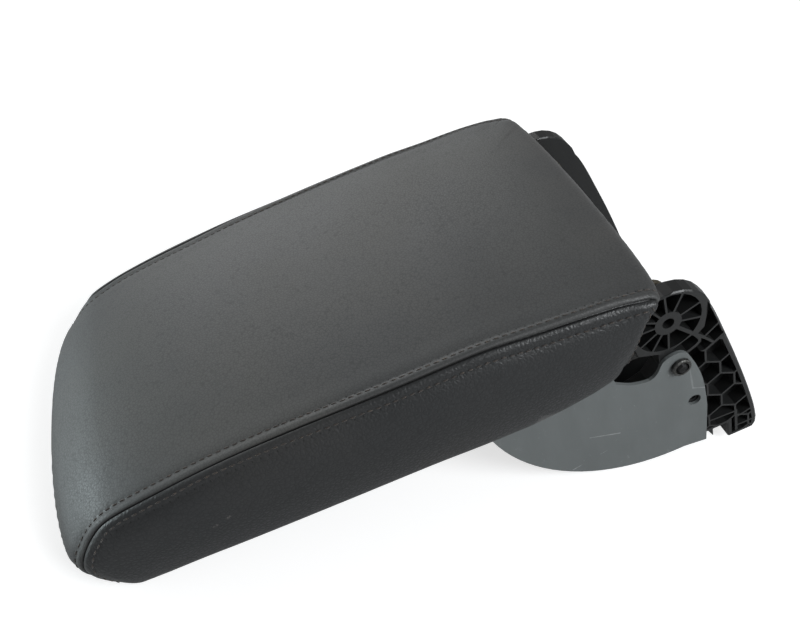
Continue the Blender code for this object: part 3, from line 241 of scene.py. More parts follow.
class Bench(Wiring):
    """The node tree of one material, with short calls for the nodes that the finishes share."""

    def __init__(self, name: str) -> None:
        """Starts a material with a Principled shader and Object coordinates.

        Args:
            name: the material's name.
        """
        self.material = bpy.data.materials.new(name)
        self.material.use_nodes = True
        super().__init__(self.material.node_tree)
        self.shader = self.tree.nodes["Principled BSDF"]
        self.place = self.node("ShaderNodeTexCoord").outputs["Object"]

    def maths(self, operation: str, a: object, b: object = 0.0, clamp: bool = False) -> NodeSocket:
        """One sum on two values."""
        return self.node("ShaderNodeMath", {0: a, 1: b}, operation=operation, use_clamp=clamp).outputs[0]

    def vectors(self, operation: str, a: object, b: object, output: str = "Vector") -> NodeSocket:
        """One sum on two vectors."""
        return self.node("ShaderNodeVectorMath", {0: a, 1: b}, operation=operation).outputs[output]

    def span(
        self, value: object, low: float, high: float, to_low: float = 0.0, to_high: float = 1.0
    ) -> NodeSocket:
        """Maps a value smoothly from one range to another, held at both ends."""
        inputs = {"Value": value, "From Min": low, "From Max": high, "To Min": to_low, "To Max": to_high}
        return self.node("ShaderNodeMapRange", inputs, interpolation_type="SMOOTHSTEP").outputs["Result"]

    def spread(self, noise: object, low: float, high: float) -> NodeSocket:
        """Spreads a noise over a range; most of its values lie from 0.3 to 0.7."""
        return self.span(noise, 0.3, 0.7, low, high)

    def band(self, distance: object, edges_mm: tuple[float, float], near: float, far: float) -> NodeSocket:
        """One value nearer than the first edge, another one beyond the second, and a soft change between."""
        return self.span(distance, edges_mm[0] * MM, edges_mm[1] * MM, near, far)

    def noise(
        self, scale: float, detail: float = 3.0, roughness: float = 0.5, stretch: Triple = (1.0, 1.0, 1.0)
    ) -> NodeSocket:
        """Noise on the piece's own coordinates.

        Args:
            scale: features to a metre.
            detail: octaves.
            roughness: share of each finer octave.
            stretch: factors on the coordinates, for streaks.

        Returns:
            The noise, about 0.5.
        """
        place = self.node("ShaderNodeMapping", {"Vector": self.place, "Scale": stretch}).outputs[0]
        inputs = {"Vector": place, "Scale": scale, "Detail": detail, "Roughness": roughness}
        return self.node("ShaderNodeTexNoise", inputs).outputs["Fac"]

    def cells(self, scale: float, feature: str) -> NodeSocket:
        """Distances in Voronoi cells on the piece's own coordinates."""
        inputs = {"Vector": self.place, "Scale": scale}
        return self.node("ShaderNodeTexVoronoi", inputs, feature=feature).outputs["Distance"]

    def blend(self, share: object, a: object, b: object) -> NodeSocket:
        """Mixes two colours."""
        made = self.node("ShaderNodeMix", data_type="RGBA")
        for name, kind, value in (("Factor", "VALUE", share), ("A", "RGBA", a), ("B", "RGBA", b)):
            self.put(next(s for s in made.inputs if s.name == name and s.type == kind), value)
        return next(s for s in made.outputs if s.type == "RGBA")

    def attribute(self, name: str) -> NodeSocket:
        """A number kept on the piece's points."""
        made = self.node("ShaderNodeAttribute", attribute_name=name, attribute_type="GEOMETRY")
        return made.outputs["Fac"]

    def from_line(self, start: Triple, end: Triple, sway: object) -> NodeSocket:
        """Distance from a straight line between two places, in metres.

        Args:
            start: one end of the line.
            end: the other end.
            sway: how far the line wanders at each point.

        Returns:
            The distance.
        """
        way = Vector(end) - Vector(start)
        offset = self.vectors("SUBTRACT", self.place, start)
        share = self.vectors("DOT_PRODUCT", offset, way / way.length_squared, "Value")
        share = self.maths("ADD", share, 0.0, clamp=True)
        foot = self.node("ShaderNodeVectorMath", {0: way, "Scale": share}, operation="SCALE").outputs[0]
        beside = self.vectors("DISTANCE", offset, foot, "Value")
        return self.maths("ABSOLUTE", self.maths("ADD", beside, sway))

    def bump(self, height: object, depth: float, under: object = None) -> NodeSocket:
        """A bump of a given depth in metres, on top of another one."""
        inputs = {"Height": height, "Distance": depth, "Strength": 1.0}
        if under is not None:
            inputs["Normal"] = under
        return self.node("ShaderNodeBump", inputs).outputs["Normal"]

    def finish(self, colour: object, roughness: object, normal: object = None, **fixed: float) -> Material:
        """Sets the shader.

        Args:
            colour: base colour.
            roughness: roughness.
            normal: the surface's normal, where it has bumps.
            fixed: values that are the same all over, by socket name with _ for a space.

        Returns:
            The material.
        """
        self.put(self.shader.inputs["Base Color"], colour)
        self.put(self.shader.inputs["Roughness"], roughness)
        if normal is not None:
            self.put(self.shader.inputs["Normal"], normal)
        for name, value in fixed.items():
            self.shader.inputs[name.replace("_", " ")].default_value = value
        return self.material


# Finishes


@dataclass(frozen=True)
class LeatherFinish:
    """Pigmented automotive leather: a fine pebble grain, a dull sheen, and painted shade in the seam's valley
    and the needle holes.
    """

    name: str
    colour: Triple
    worn_colour: Triple
    pebble_mm: float
    pebble_depth_mm: float
    roughness: float
    stitch_row_mm: float
    shine: float
    sheen: float
    scuffs: tuple = ()
    scuff_colour: Triple = (0.16, 0.15, 0.14)
    scuff_strength: float = 0.7
    scuff_sway_mm: float = 0.3
    scuff_mm: tuple[float, float] = (0.2, 0.9)
    crease_ratio: float = 1.7
    pores_per_metre: float = 2600.0
    clouds_per_metre: float = 14.0
    dents_per_metre: float = 150.0
    dents_mm: float = 0.10
    # Painted shade in the seam's valley and the needle holes: band widths and colour factors.
    valley_mm: tuple[float, float] = (0.22, 0.62)
    valley_painted_shade: float = 0.03
    hole_mm: tuple[float, float] = (0.25, 0.6)
    hole_painted_shade: float = 0.15

    def build(self) -> Material:
        """Builds the material.

        Returns:
            The leather, which reads the seam_distance and seam_along numbers of the pad.
        """
        b = Bench(self.name)
        pebble = b.cells(1 / (self.pebble_mm * MM), "F1")
        crease = b.cells(1 / (self.pebble_mm * self.crease_ratio * MM), "DISTANCE_TO_EDGE")
        pores = b.noise(self.pores_per_metre, 2.0)
        clouds = b.noise(self.clouds_per_metre, 3.0)
        colour = b.blend(b.span(clouds, 0.35, 0.7), self.colour, self.worn_colour)
        tint = b.span(crease, 0.0, 0.12, 0.72, 1.0)
        shade = b.maths("MULTIPLY", tint, b.span(pores, 0.25, 0.6, 0.86, 1.05))
        # Painted shade of the seam's valley and needle holes, multiplied into the colour.
        shade = b.maths("MULTIPLY", shade, self.seam_painted_shade(b))
        colour = b.vectors("MULTIPLY", colour, shade)
        sway = b.spread(pores, -self.scuff_sway_mm * MM, self.scuff_sway_mm * MM)
        for start, end in self.scuffs:
            line = b.band(b.from_line(start, end, sway), self.scuff_mm, 1.0, 0.0)
            mark = b.maths("MULTIPLY", line, b.span(pebble, 0.3, 0.6, 1.0, 0.3))
            colour = b.blend(b.maths("MULTIPLY", mark, self.scuff_strength), colour, self.scuff_colour)
        rough = b.span(crease, 0.0, 0.2, self.roughness + 0.1, self.roughness)
        rough = b.maths("ADD", b.spread(clouds, -0.04, 0.05), rough)
        grain = b.maths("ADD", b.maths("MULTIPLY", pebble, -0.6), b.span(crease, 0.0, 0.34, 0.0, 0.5))
        dents = b.bump(b.noise(self.dents_per_metre, 3.0), self.dents_mm * MM)
        normal = b.bump(grain, self.pebble_depth_mm * MM, dents)
        fixed = {"Sheen_Weight": self.sheen, "Sheen_Roughness": 0.5, "Specular_IOR_Level": self.shine}
        return b.finish(colour, rough, normal, **fixed)

    def seam_painted_shade(self, b: Bench) -> NodeSocket:
        """Painted shade: how much darker the leather's colour is made in the seam's valley and in the needle
        holes, where shade falls.

        Args:
            b: the bench of the material.

        Returns:
            A factor for the colour.
        """
        distance = b.maths("ABSOLUTE", b.attribute("seam_distance"))
        valley = b.band(distance, self.valley_mm, self.valley_painted_shade, 1.0)
        row = b.maths("ABSOLUTE", b.maths("SUBTRACT", distance, self.stitch_row_mm * MM))
        step = b.maths("MULTIPLY", b.attribute("seam_along"), 1 / (STITCH_PITCH_MM * MM))
        phase = b.maths("ABSOLUTE", b.maths("SUBTRACT", b.maths("FRACT", step), 0.5))
        hole = b.maths("MULTIPLY", b.band(row, self.hole_mm, 1.0, 0.0), b.span(phase, 0.38, 0.5))
        return b.maths("MULTIPLY", valley, b.span(hole, 0.0, 1.0, 1.0, self.hole_painted_shade))


@dataclass(frozen=True)
class PlasticFinish:
    """Moulded plastic: a spark-eroded texture, flow marks, rubbed spots and scratches."""

    name: str
    colour: Triple
    rubbed_colour: Triple
    grain_mm: float
    grain_depth_mm: float
    roughness: float
    scratches: tuple = ()
    scratch_mm: tuple[float, float] = (0.10, 0.34)
    scratch_sway_mm: float = 0.4
    marks_per_metre: float = 28.0
    marks_stretch: Triple = (1.0, 2.2, 0.7)
    rubbed_per_metre: float = 240.0

    def build(self) -> Material:
        """Builds the material.

        Returns:
            The plastic.
        """
        b = Bench(self.name)
        grain = b.noise(1 / (self.grain_mm * MM), 2.0)
        marks = b.noise(self.marks_per_metre, 4.0, 0.55, self.marks_stretch)
        rubbed = b.noise(self.rubbed_per_metre, 5.0, 0.7)
        share = b.maths("MULTIPLY", b.span(rubbed, 0.62, 0.8), 0.5, clamp=True)
        colour = b.blend(b.spread(marks, 0.0, 0.5), self.colour, darkened(self.colour, 0.8))
        colour = b.blend(share, colour, self.rubbed_colour)
        sway = b.maths("MULTIPLY", b.spread(marks, -1.0, 1.0), self.scratch_sway_mm * MM)
        for start, end, strength in self.scratches:
            line = b.band(b.from_line(start, end, sway), self.scratch_mm, 1.0, 0.0)
            mark = b.maths("MULTIPLY", line, b.span(rubbed, 0.30, 0.42))
            colour = b.blend(b.maths("MULTIPLY", mark, strength), colour, self.rubbed_colour)
        rough = b.maths("ADD", b.spread(marks, -0.05, 0.06), self.roughness)
        return b.finish(colour, rough, b.bump(grain, self.grain_depth_mm * MM), Specular_IOR_Level=0.5)


@dataclass(frozen=True)
class MetalFinish:
    """Plated or bare metal with a fine grain and dull spots."""

    name: str
    colour: Triple
    dull_colour: Triple
    roughness: float
    spots_per_metre: float = 420.0
    spots_roughness: float = 0.25
    grain_per_metre: float = 3000.0
    grain_depth_mm: float = 0.02

    def build(self) -> Material:
        """Builds the material.

        Returns:
            The metal.
        """
        b = Bench(self.name)
        spots = b.noise(self.spots_per_metre, 4.0, 0.6)
        colour = b.blend(b.span(spots, 0.42, 0.68), self.colour, self.dull_colour)
        rough = b.span(spots, 0.35, 0.7, self.roughness, self.roughness + self.spots_roughness)
        normal = b.bump(b.noise(self.grain_per_metre, 2.0), self.grain_depth_mm * MM)
        return b.finish(colour, rough, normal, Metallic=1.0)


@dataclass(frozen=True)
class FoamFinish:
    """Open moulded foam with pores."""

    name: str = "foam"
    colour: Triple = (0.50, 0.44, 0.27)
    pore_colour: Triple = (0.27, 0.22, 0.12)
    pore_mm: float = 1.1
    pore_depth_mm: float = 0.35
    roughness: float = 0.95

    def build(self) -> Material:
        """Builds the material.

        Returns:
            The foam.
        """
        b = Bench(self.name)
        pore = b.cells(1 / (self.pore_mm * MM), "F1")
        colour = b.blend(b.span(pore, 0.1, 0.55), self.pore_colour, self.colour)
        return b.finish(colour, self.roughness, b.bump(pore, self.pore_depth_mm * MM))


@dataclass(frozen=True)
class ThreadFinish:
    """Twisted sewing thread, with painted glints."""

    name: str
    colour: Triple
    painted_glint_colour: Triple
    twist_mm: float = 0.45
    twist_depth_mm: float = 0.08
    roughness: float = 0.6

    def build(self) -> Material:
        """Builds the material.

        Returns:
            The thread.
        """
        b = Bench(self.name)
        fibres = b.noise(1 / (self.twist_mm * MM), 3.0)
        colour = b.blend(b.span(fibres, 0.3, 0.6), darkened(self.colour, 0.55), self.colour)
        # Painted highlight: tan flecks where the fibre noise is high stand in for glints of light on the
        # thread.
        colour = b.blend(b.span(fibres, 0.60, 0.72, 0.0, 0.7), colour, self.painted_glint_colour)
        return b.finish(colour, self.roughness, b.bump(fibres, self.twist_depth_mm * MM), Sheen_Weight=0.3)


# The padded lid


@dataclass(frozen=True)
class PadForm:
    """The shape of the padded lid: an outline at its widest, and the fall of its skin from crown to lip."""

    level_mm: float = 117.5
    crown_mm: float = 6.0
    crown_power: float = 2.2
    spine_mm: tuple[float, float] = (-215.0, -60.0)
    plan_mm: tuple = (
        (7.0, 0.0), (6.7, 30.0), (5.8, 58.0), (4.4, 74.0), (1.2, 83.0), (-5.0, 86.2), (-18.0, 87.2),
        (-40.0, 87.7), (-120.0, 88.2), (-205.0, 87.9), (-247.6, 86.2), (-259.8, 81.4), (-267.2, 70.4),
        (-270.9, 50.0), (-272.6, 25.0), (-273.0, 0.0),
    )
    seam_x_mm: tuple = (
        (0.0, 83.1), (-24.0, 83.7), (-50.0, 82.6), (-75.0, 81.0), (-110.0, 80.7), (-150.0, 79.7),
        (-186.0, 78.4), (-245.0, 77.6),
    )
    seam_height_mm: tuple = (
        (10.0, 0.4), (0.0, 1.2), (-24.0, 4.4), (-50.0, 6.2), (-75.0, 8.0), (-110.0, 8.4), (-150.0, 8.5),
        (-186.0, 7.2), (-219.0, 4.6), (-239.0, 1.0), (-250.0, -3.0), (-259.0, -7.0), (-274.0, -12.0),
    )
    bottom_mm: tuple = (
        (0.0, -7.0), (-5.0, -13.0), (-10.0, -24.0), (-15.0, -33.0), (-23.0, -41.0), (-41.0, -45.5),
        (-60.0, -47.5), (-80.0, -47.0), (-110.0, -45.0), (-150.0, -43.6), (-196.0, -41.8), (-217.0, -40.8),
        (-240.0, -40.4), (-256.0, -39.5), (-266.0, -36.6), (-273.0, -31.5),
    )
    side_fall: Table = (
        (26.0, 0.0), (14.0, 0.0), (8.0, 0.0), (4.2, 0.10), (1.2, 0.26), (0.0, 0.48), (0.4, 0.70),
        (2.6, 0.90), (7.2, 1.0),
    )
    front_fall: Table = (
        (40.0, 0.0), (24.0, 0.0), (13.0, 0.03), (6.0, 0.09), (1.6, 0.18), (0.0, 0.32), (1.8, 0.58),
        (8.5, 0.9), (24.0, 1.0),
    )
    rear_fall: Table = (
        (20.0, 0.0), (10.0, 0.05), (5.5, 0.12), (2.6, 0.24), (0.8, 0.40), (0.0, 0.58), (0.5, 0.76),
        (2.4, 0.94), (6.0, 1.0),
    )
    fall_steps: int = 14
    crown_steps: int = 40
    rear_mix_mm: tuple[float, float] = (-9.0, 8.0)
    front_mix_mm: tuple[float, float] = (-244.0, 18.0)
    corner_x_mm: float = 84.0
    corner_share: float = 0.5
    turn_mm: float = 200.0

    def half_plan(self) -> np.ndarray:
        """The outline on the left side, as (x, y) points from the rear middle to the front middle."""
        return rounded_line(np.array(self.plan_mm, float), OUTLINE_STEPS)[:, ::-1]

    def turned(self, x: np.ndarray, y: np.ndarray) -> np.ndarray:
        """A number that grows round the outline, the same for all points on one line out from the spine."""
        middle = np.clip(y, *self.spine_mm)
        return self.turn_mm * np.arctan2(middle - y, np.maximum(np.abs(x), 0.01)) - middle

    def outline_y(self, x: np.ndarray, y: np.ndarray) -> np.ndarray:
        """Finds where on the outline points lie, looking out from the spine.

        Args:
            x: places across, in millimetres.
            y: places along.

        Returns:
            The y of the outline's point beyond each one.
        """
        plan = self.half_plan()
        return np.interp(self.turned(x, y), self.turned(plan[:, 0], plan[:, 1]), plan[:, 1])

    def top(self, x: np.ndarray, y: np.ndarray) -> np.ndarray:
        """Height of the crowned top at points of the plan."""
        across = np.minimum(1.0, np.abs(x) / smooth_value(self.seam_x_mm, y))
        crown = self.crown_mm * (1 - across**self.crown_power)
        return self.level_mm + smooth_value(self.seam_height_mm, y) + crown

    def sections(self, plan: np.ndarray) -> np.ndarray:
        """The skin's section at each point of the outline, from the spine to the lip.

        Args:
            plan: (x, y) points of the outline.

        Returns:
            An array of [section, point, xyz] in millimetres.
        """
        tables = (self.side_fall, self.rear_fall, self.front_fall)
        side, rear, front = (rounded_line(np.array(t, float), self.fall_steps)[None, :, :] for t in tables)
        x, y = plan[:, 0], plan[:, 1]
        rear_share = np.clip((y - self.rear_mix_mm[0]) / self.rear_mix_mm[1], 0, 1)
        rear_share = rear_share * np.where(np.abs(x) < self.corner_x_mm, 1.0, self.corner_share)
        front_share = np.clip((self.front_mix_mm[0] - y) / self.front_mix_mm[1], 0, 1)
        mixed = side + (rear - side) * eased(rear_share)[:, None, None]
        mixed = mixed + (front - mixed) * eased(front_share)[:, None, None]
        middle = np.clip(y, *self.spine_mm)
        inward = unit(np.stack([-x, middle - y], axis=1))
        px = x[:, None] + inward[:, :1] * mixed[:, :, 0]
        py = y[:, None] + inward[:, 1:] * mixed[:, :, 0]
        shares = (np.arange(self.crown_steps) / self.crown_steps)[None, :]
        px = np.hstack([px[:, :1] * shares, px])
        py = np.hstack([middle[:, None] + (py[:, :1] - middle[:, None]) * shares, py])
        fall = np.hstack([np.zeros((len(plan), self.crown_steps)), mixed[:, :, 1]])
        low = self.level_mm + smooth_value(self.bottom_mm, np.repeat(y[:, None], px.shape[1], axis=1))
        high = self.top(px, py)
        return np.stack([px, py, high + (low - high) * fall], axis=2)


@dataclass
class SeamLine:
    """The left seam on the skin, as close points with their normals and directions towards the top panel."""

    points: np.ndarray
    normal: np.ndarray
    across: np.ndarray

    def __post_init__(self) -> None:
        """Works out lengths and tangents, and a search tree over the points."""
        self.along = arc_lengths(self.points)
        self.tangent = unit(np.gradient(self.points, axis=0))
        self.tree = KDTree(len(self.points))
        for index, point in enumerate(self.points):
            self.tree.insert(point, index)
        self.tree.balance()

    def measure(self, places: np.ndarray) -> tuple[np.ndarray, np.ndarray]:
        """Measures places against the seam of their own side.

        Args:
            places: an array whose last axis is xyz, in millimetres.

        Returns:
            The distance from the seam, above zero on the top panel, and the length along the seam.
        """
        flat = places.reshape(-1, 3)
        flat = flat * np.where(flat[:, :1] < 0, MIRROR, 1.0)
        nearest = np.array([self.tree.find(p)[1] for p in flat])
        offset = flat - self.points[nearest]
        ahead = (offset * self.tangent[nearest]).sum(1)
        past = ((nearest == 0) & (ahead < 0)) | ((nearest == len(self.points) - 1) & (ahead > 0))
        ahead = np.where(past, 0.0, ahead)
        beside = np.linalg.norm(offset - ahead[:, None] * self.tangent[nearest], axis=1)
        sign = np.where((offset * self.across[nearest]).sum(1) >= 0, 1.0, -1.0)
        shape = places.shape[:-1]
        return (beside * sign).reshape(shape), (self.along[nearest] + ahead).reshape(shape)

    def crossings(self, sections: np.ndarray) -> np.ndarray:
        """Where the seam crosses each section, as a length from the spine, level past the seam's ends.

        Args:
            sections: the skin's sections in millimetres.

        Returns:
            One length for each section.
        """
        distance, _ = self.measure(sections)
        made = np.full(len(sections), np.nan)
        for i, (section, gap) in enumerate(zip(sections, distance)):
            near = (gap[:-1] < SEAM_REACH_MM) & (gap[1:] > -SEAM_REACH_MM)
            turns = np.flatnonzero((gap[:-1] > 0) & (gap[1:] <= 0) & near)
            if len(turns):
                k = turns[0]
                along = arc_lengths(section)
                share = gap[k] / (gap[k] - gap[k + 1])
                made[i] = min(along[k] + share * (along[k + 1] - along[k]), along[-1] - LEAST_HEM_MM)
        known = np.flatnonzero(~np.isnan(made))
        return np.interp(np.arange(len(made)), known, made[known], period=len(made))


@dataclass
class PaddedLid:
    """The sewn leather cover over its foam: a swollen skin, two French seams and their top stitches."""

    form: PadForm
    top_leather: LeatherFinish
    side_leather_painted_shade: LeatherFinish
    thread: ThreadFinish
    leather_mm: float = 1.3
    seam_points_mm: tuple = (
        (60.0, -14.0, -30.0), (70.0, -9.0, -20.0), (79.0, -3.0, -10.0), (83.1, 0.5, -1.0),
        (83.6, -7.0, 1.7), (83.7, -24.0, 3.9), (82.6, -50.0, 6.2), (81.0, -75.0, 8.2),
        (80.7, -110.0, 8.4), (79.5, -153.0, 8.5), (78.4, -186.0, 7.2), (78.4, -219.0, 4.6),
        (77.6, -239.0, 1.0), (78.3, -250.0, -3.4), (80.0, -256.0, -7.5), (81.5, -259.5, -13.0),
        (81.8, -261.0, -20.0), (80.8, -260.0, -28.0), (77.0, -255.0, -36.0), (70.0, -246.0, -38.0),
    )
    rows_mm: tuple = (
        0.0, 0.18, 0.36, 0.56, 0.8, 1.1, 1.5, 2.0, 2.6, 3.3, 4.0, 4.5, 5.0, 5.5, 6.1, 7.0, 8.6, 11.0, 14.0,
    )
    top_points: int = 26
    side_points: int = 44
    inner_points: int = 9
    rows_room_mm: float = 6.0
    valley_mm: tuple[float, float] = (1.25, 0.42)
    welt_mm: float = 0.5
    welt_shares: tuple[float, float] = (0.45, 0.30)
    groove_mm: tuple[float, float] = (0.32, 0.75)
    groove_pull: tuple[float, float] = (0.55, 0.45)
    shoulder_mm: Triple = (0.2, 4.0, 3.0)
    corner_steps_mm: tuple = (
        (74.0, -8.0, 20.0, 0.3), (66.0, -22.0, 20.0, 0.55), (66.0, -300.0, -240.0, 0.55),
    )
    plan_steps_mm: tuple[float, float] = (1.4, 3.0)

    def plan_step(self, x: float, y: float) -> float:
        """How far the next sample of the outline lies: small at the corners, which are given by x and y."""
        for least_x, low_y, high_y, step in self.corner_steps_mm:
            if x > least_x and low_y < y < high_y:
                return step
        return self.plan_steps_mm[0 if x > self.form.corner_x_mm else 1]

    def plan_points(self) -> np.ndarray:
        """The outline sampled finely where the seam runs down its corners, more widely elsewhere."""
        half = self.form.half_plan()
        along = arc_lengths(half)
        places = [0.0]
        while places[-1] < along[-1]:
            places.append(places[-1] + self.plan_step(*resampled(half, np.array([places[-1]]))[0]))
        left = resampled(half, np.array(places) * along[-1] / places[-1])
        left[[0, -1], 0] = 0.0
        return np.vstack([left, left[1:-1][::-1] * MIRROR[:2]])

    def seam_line(self, skin: BVHTree) -> SeamLine:
        """Lays the left seam on a skin.

        Args:
            skin: the pad's skin before it is sewn, in millimetres.

        Returns:
            The seam, as points about half a millimetre apart.
        """
        lift = np.array([0, 0, self.form.level_mm])
        rough = rounded_line(np.array(self.seam_points_mm) + lift, OUTLINE_STEPS)
        line = relaxed(laid_on(skin, rough)[0], SEAM_EASE_PASSES[0])
        total = arc_lengths(line)[-1]
        line, normal = laid_on(skin, resampled(line, np.linspace(0, total, int(total / SEAM_STEP_MM))))
        line = relaxed(line, SEAM_EASE_PASSES[1])
        normal = unit(relaxed(normal, SEAM_EASE_PASSES[1]))
        tangent = unit(np.gradient(line, axis=0))
        return SeamLine(line, normal, unit(np.cross(tangent, normal)))

    def rows(self, sections: np.ndarray, crossings: np.ndarray) -> np.ndarray:
        """Resamples the sections so that lines of points run close beside the seam.

        Args:
            sections: sections of the skin.
            crossings: where the seam crosses each one, as a length from the spine.

        Returns:
            The sections with the same number of points each.
        """
        near = np.array(self.rows_mm)
        reach = near[-1] + self.rows_room_mm
        made = []
        for section, cross in zip(sections, crossings):
            along = arc_lengths(section)
            below = min(1.0, (along[-1] - cross) / reach) * near
            above = min(1.0, cross / reach) * near
            top = np.linspace(0.0, cross - above[-1], self.top_points)[:-1]
            side = np.linspace(cross + below[-1], along[-1], self.side_points)[1:]
            places = np.concatenate([top, (cross - above)[::-1], (cross + below)[1:], side])
            made.append(np.stack([np.interp(places, along, section[:, k]) for k in range(3)], axis=1))
        return np.array(made)

    def sew(self, grid: np.ndarray, seam: SeamLine) -> tuple[np.ndarray, np.ndarray, np.ndarray]:
        """Presses the seams, their welts and the rows of stitches into the skin.

        Args:
            grid: sections of the skin.
            seam: the left seam.

        Returns:
            The moved grid, the signed distance from the seam and the length along it at each point.
        """
        distance, length = seam.measure(grid)
        size = np.abs(distance)
        row = np.where(distance > 0, TOP_ROW_MM, SIDE_ROW_MM)
        pull = self.groove_pull[0] + self.groove_pull[1] * np.cos(2 * np.pi * length / STITCH_PITCH_MM)
        height = -self.valley_mm[0] * hump(size, 0.0, self.valley_mm[1])
        height = height + self.welt_mm * hump(size, row * self.welt_shares[0], row * self.welt_shares[1])
        height = height - self.groove_mm[0] * hump(size, row, self.groove_mm[1]) * pull
        height = height + self.shoulder_mm[0] * hump(size, row + self.shoulder_mm[1], self.shoulder_mm[2])
        return grid + normals_of(grid) * height[:, :, None], distance, length

    def swell(self, grid: np.ndarray, seam: SeamLine) -> np.ndarray:
        """How far the filling pushes each point of the skin out, by a cloth simulation of a coarse copy.

        Args:
            grid: sections of the skin.
            seam: the left seam, which holds the skin down.

        Returns:
            The distance along the normal at each point, in millimetres.
        """
        around, down = SWELL_SKIP
        coarse = np.concatenate([grid[::around, ::down], grid[::around, -1:]], axis=1)
        pad = shell_object("swelling", coarse, {}, closed=True)
        remesh = pad.modifiers.new("even faces", "REMESH")
        remesh.mode = "VOXEL"
        remesh.voxel_size = SWELL_VOXEL_MM * MM
        mesh = applied(pad)
        pad.modifiers.clear()
        pad.data = mesh
        before = face_tree(mesh)
        pins = pad.vertex_groups.new(name="pins")
        gaps, _ = seam.measure(np.array([v.co for v in mesh.vertices]) / MM)
        for v, gap in zip(mesh.vertices, np.abs(gaps)):
            low = v.co.z / MM < self.form.level_mm - SWELL_HELD_MM
            pins.add([v.index], 1.0 if low else max(0.0, 1.0 - gap / SWELL_FREE_MM), "REPLACE")
        cloth = pad.modifiers.new("cloth", "CLOTH")
        for key, value in CLOTH_SETTINGS.items():
            setattr(cloth.settings, key, value)
        cloth.settings.effector_weights.gravity = 0.0
        cloth.point_cache.frame_start, cloth.point_cache.frame_end = 1, SWELL_FRAMES
        for step in range(1, SWELL_FRAMES + 1):
            bpy.context.scene.frame_set(step)
        swollen = applied(pad)
        after = face_tree(swollen)
        bpy.context.scene.frame_set(1)
        bpy.data.meshes.remove(swollen)
        bpy.data.objects.remove(pad, do_unlink=True)
        normals = normals_of(grid)
        moved = np.zeros(grid.shape[:2])
        for i, j in np.ndindex(grid.shape[:2]):
            way = Vector(normals[i, j])
            start = Vector(grid[i, j]) - way * SWELL_REACH_MM
            hits = [tree.ray_cast(start, way, 2.5 * SWELL_REACH_MM)[3] for tree in (before, after)]
            if None not in hits:
                moved[i, j] = min(SWELL_CAP_MM, max(-SWELL_CAP_MM, hits[1] - hits[0]))
        LOG.info("swelling: %.2f mm at most, %.2f mm on average", np.abs(moved).max(), np.abs(moved).mean())
        for _ in range(SWELL_EASE_PASSES):
            moved = (np.roll(moved, 1, 0) + np.roll(moved, -1, 0) + 2 * moved) / 4
            moved[:, 1:-1] = (moved[:, :-2] + moved[:, 2:] + 2 * moved[:, 1:-1]) / 4
        return moved

    def build(self) -> tuple[Object, list[Object]]:
        """Builds the pad's cover and its stitches.

        Returns:
            The cover, and the rows of stitches.
        """
        sections = self.form.sections(self.plan_points())
        seam = self.seam_line(skin_tree(sections))
        grid = self.rows(sections, seam.crossings(sections))
        grid = spine_joined(grid + normals_of(grid) * self.swell(grid, seam)[:, :, None])
        seam = self.seam_line(skin_tree(grid))
        grid, distance, length = self.sew(grid, seam)
        grid = spine_joined(grid)
        columns = np.linspace(grid.shape[1] - 1, 0, self.inner_points).astype(int)
        inner = spine_joined(grid[:, columns] - normals_of(grid)[:, columns] * self.leather_mm, -1)
        numbers = {
            "seam_distance": np.hstack([distance, distance[:, columns]]) * MM,
            "seam_along": np.hstack([length, length[:, columns]]) * MM,
        }
        cover = shell_object("leather_pad", np.concatenate([grid, inner], axis=1), numbers)
        cover.data.materials.append(self.top_leather.build())
        cover.data.materials.append(self.side_leather_painted_shade.build())
        kept = np.empty(len(cover.data.vertices), np.float32)
        cover.data.attributes["seam_distance"].data.foreach_get("value", kept)
        for face in cover.data.polygons:
            face.material_index = (Panel.TOP if kept[list(face.vertices)].mean() > 0 else Panel.SIDE).value
        return cover, self.stitch_rows(skin_tree(grid), seam)

    def stitch_rows(self, skin: BVHTree, seam: SeamLine) -> list[Object]:
        """The two top-stitched rows beside each seam, made by Geometry Nodes along lines on the skin.

        Args:
            skin: the sewn skin, in millimetres.
            seam: the left seam.

        Returns:
            One mesh for each row.
        """
        tree = StitchTree(self.thread.build()).build()
        rows = []
        for label, offset in (("top", TOP_ROW_MM), ("side", -SIDE_ROW_MM)):
            path, out = laid_on(skin, seam.points + seam.across * offset)
            for side in Side:
                flip = np.array([side.value, 1, 1])
                name = f"top_stitches_{label}_panel_{side.name.lower()}"
                rows.append(stitched(name, path * flip, out * flip, tree))
        return rows


def laid_on(skin: BVHTree, points: np.ndarray) -> tuple[np.ndarray, np.ndarray]:
    """The places of a skin that are nearest to some points, and its normals there."""
    found = [skin.find_nearest(Vector(p)) for p in points]
    return np.array([tuple(f[0]) for f in found]), np.array([tuple(f[1]) for f in found])


def normals_of(grid: np.ndarray) -> np.ndarray:
    """Outward normals of a grid of sections that runs round the pad."""
    around = np.roll(grid, -1, 0) - np.roll(grid, 1, 0)
    down = np.gradient(grid, axis=1)
    normals = unit(np.cross(around, down))
    normals[:, 0] = (0.0, 0.0, 1.0)
    return normals


def spine_joined(grid: np.ndarray, column: int = 0) -> np.ndarray:
    """Brings the points that sections share on the spine together again, at the mean of their heights."""
    made = grid.copy()
    keys = np.round(grid[:, column, 1], 1)
    for key in np.unique(keys):
        made[keys == key, column] = grid[keys == key, column].mean(0) * (0.0, 1.0, 1.0)
    return made


def grid_faces(count: int, points: int) -> list[tuple[int, ...]]:
    """Quads between neighbouring sections, which run round the pad."""
    return [
        (i * points + k, (i + 1) % count * points + k, (i + 1) % count * points + k + 1, i * points + k + 1)
        for i in range(count)
        for k in range(points - 1)
    ]


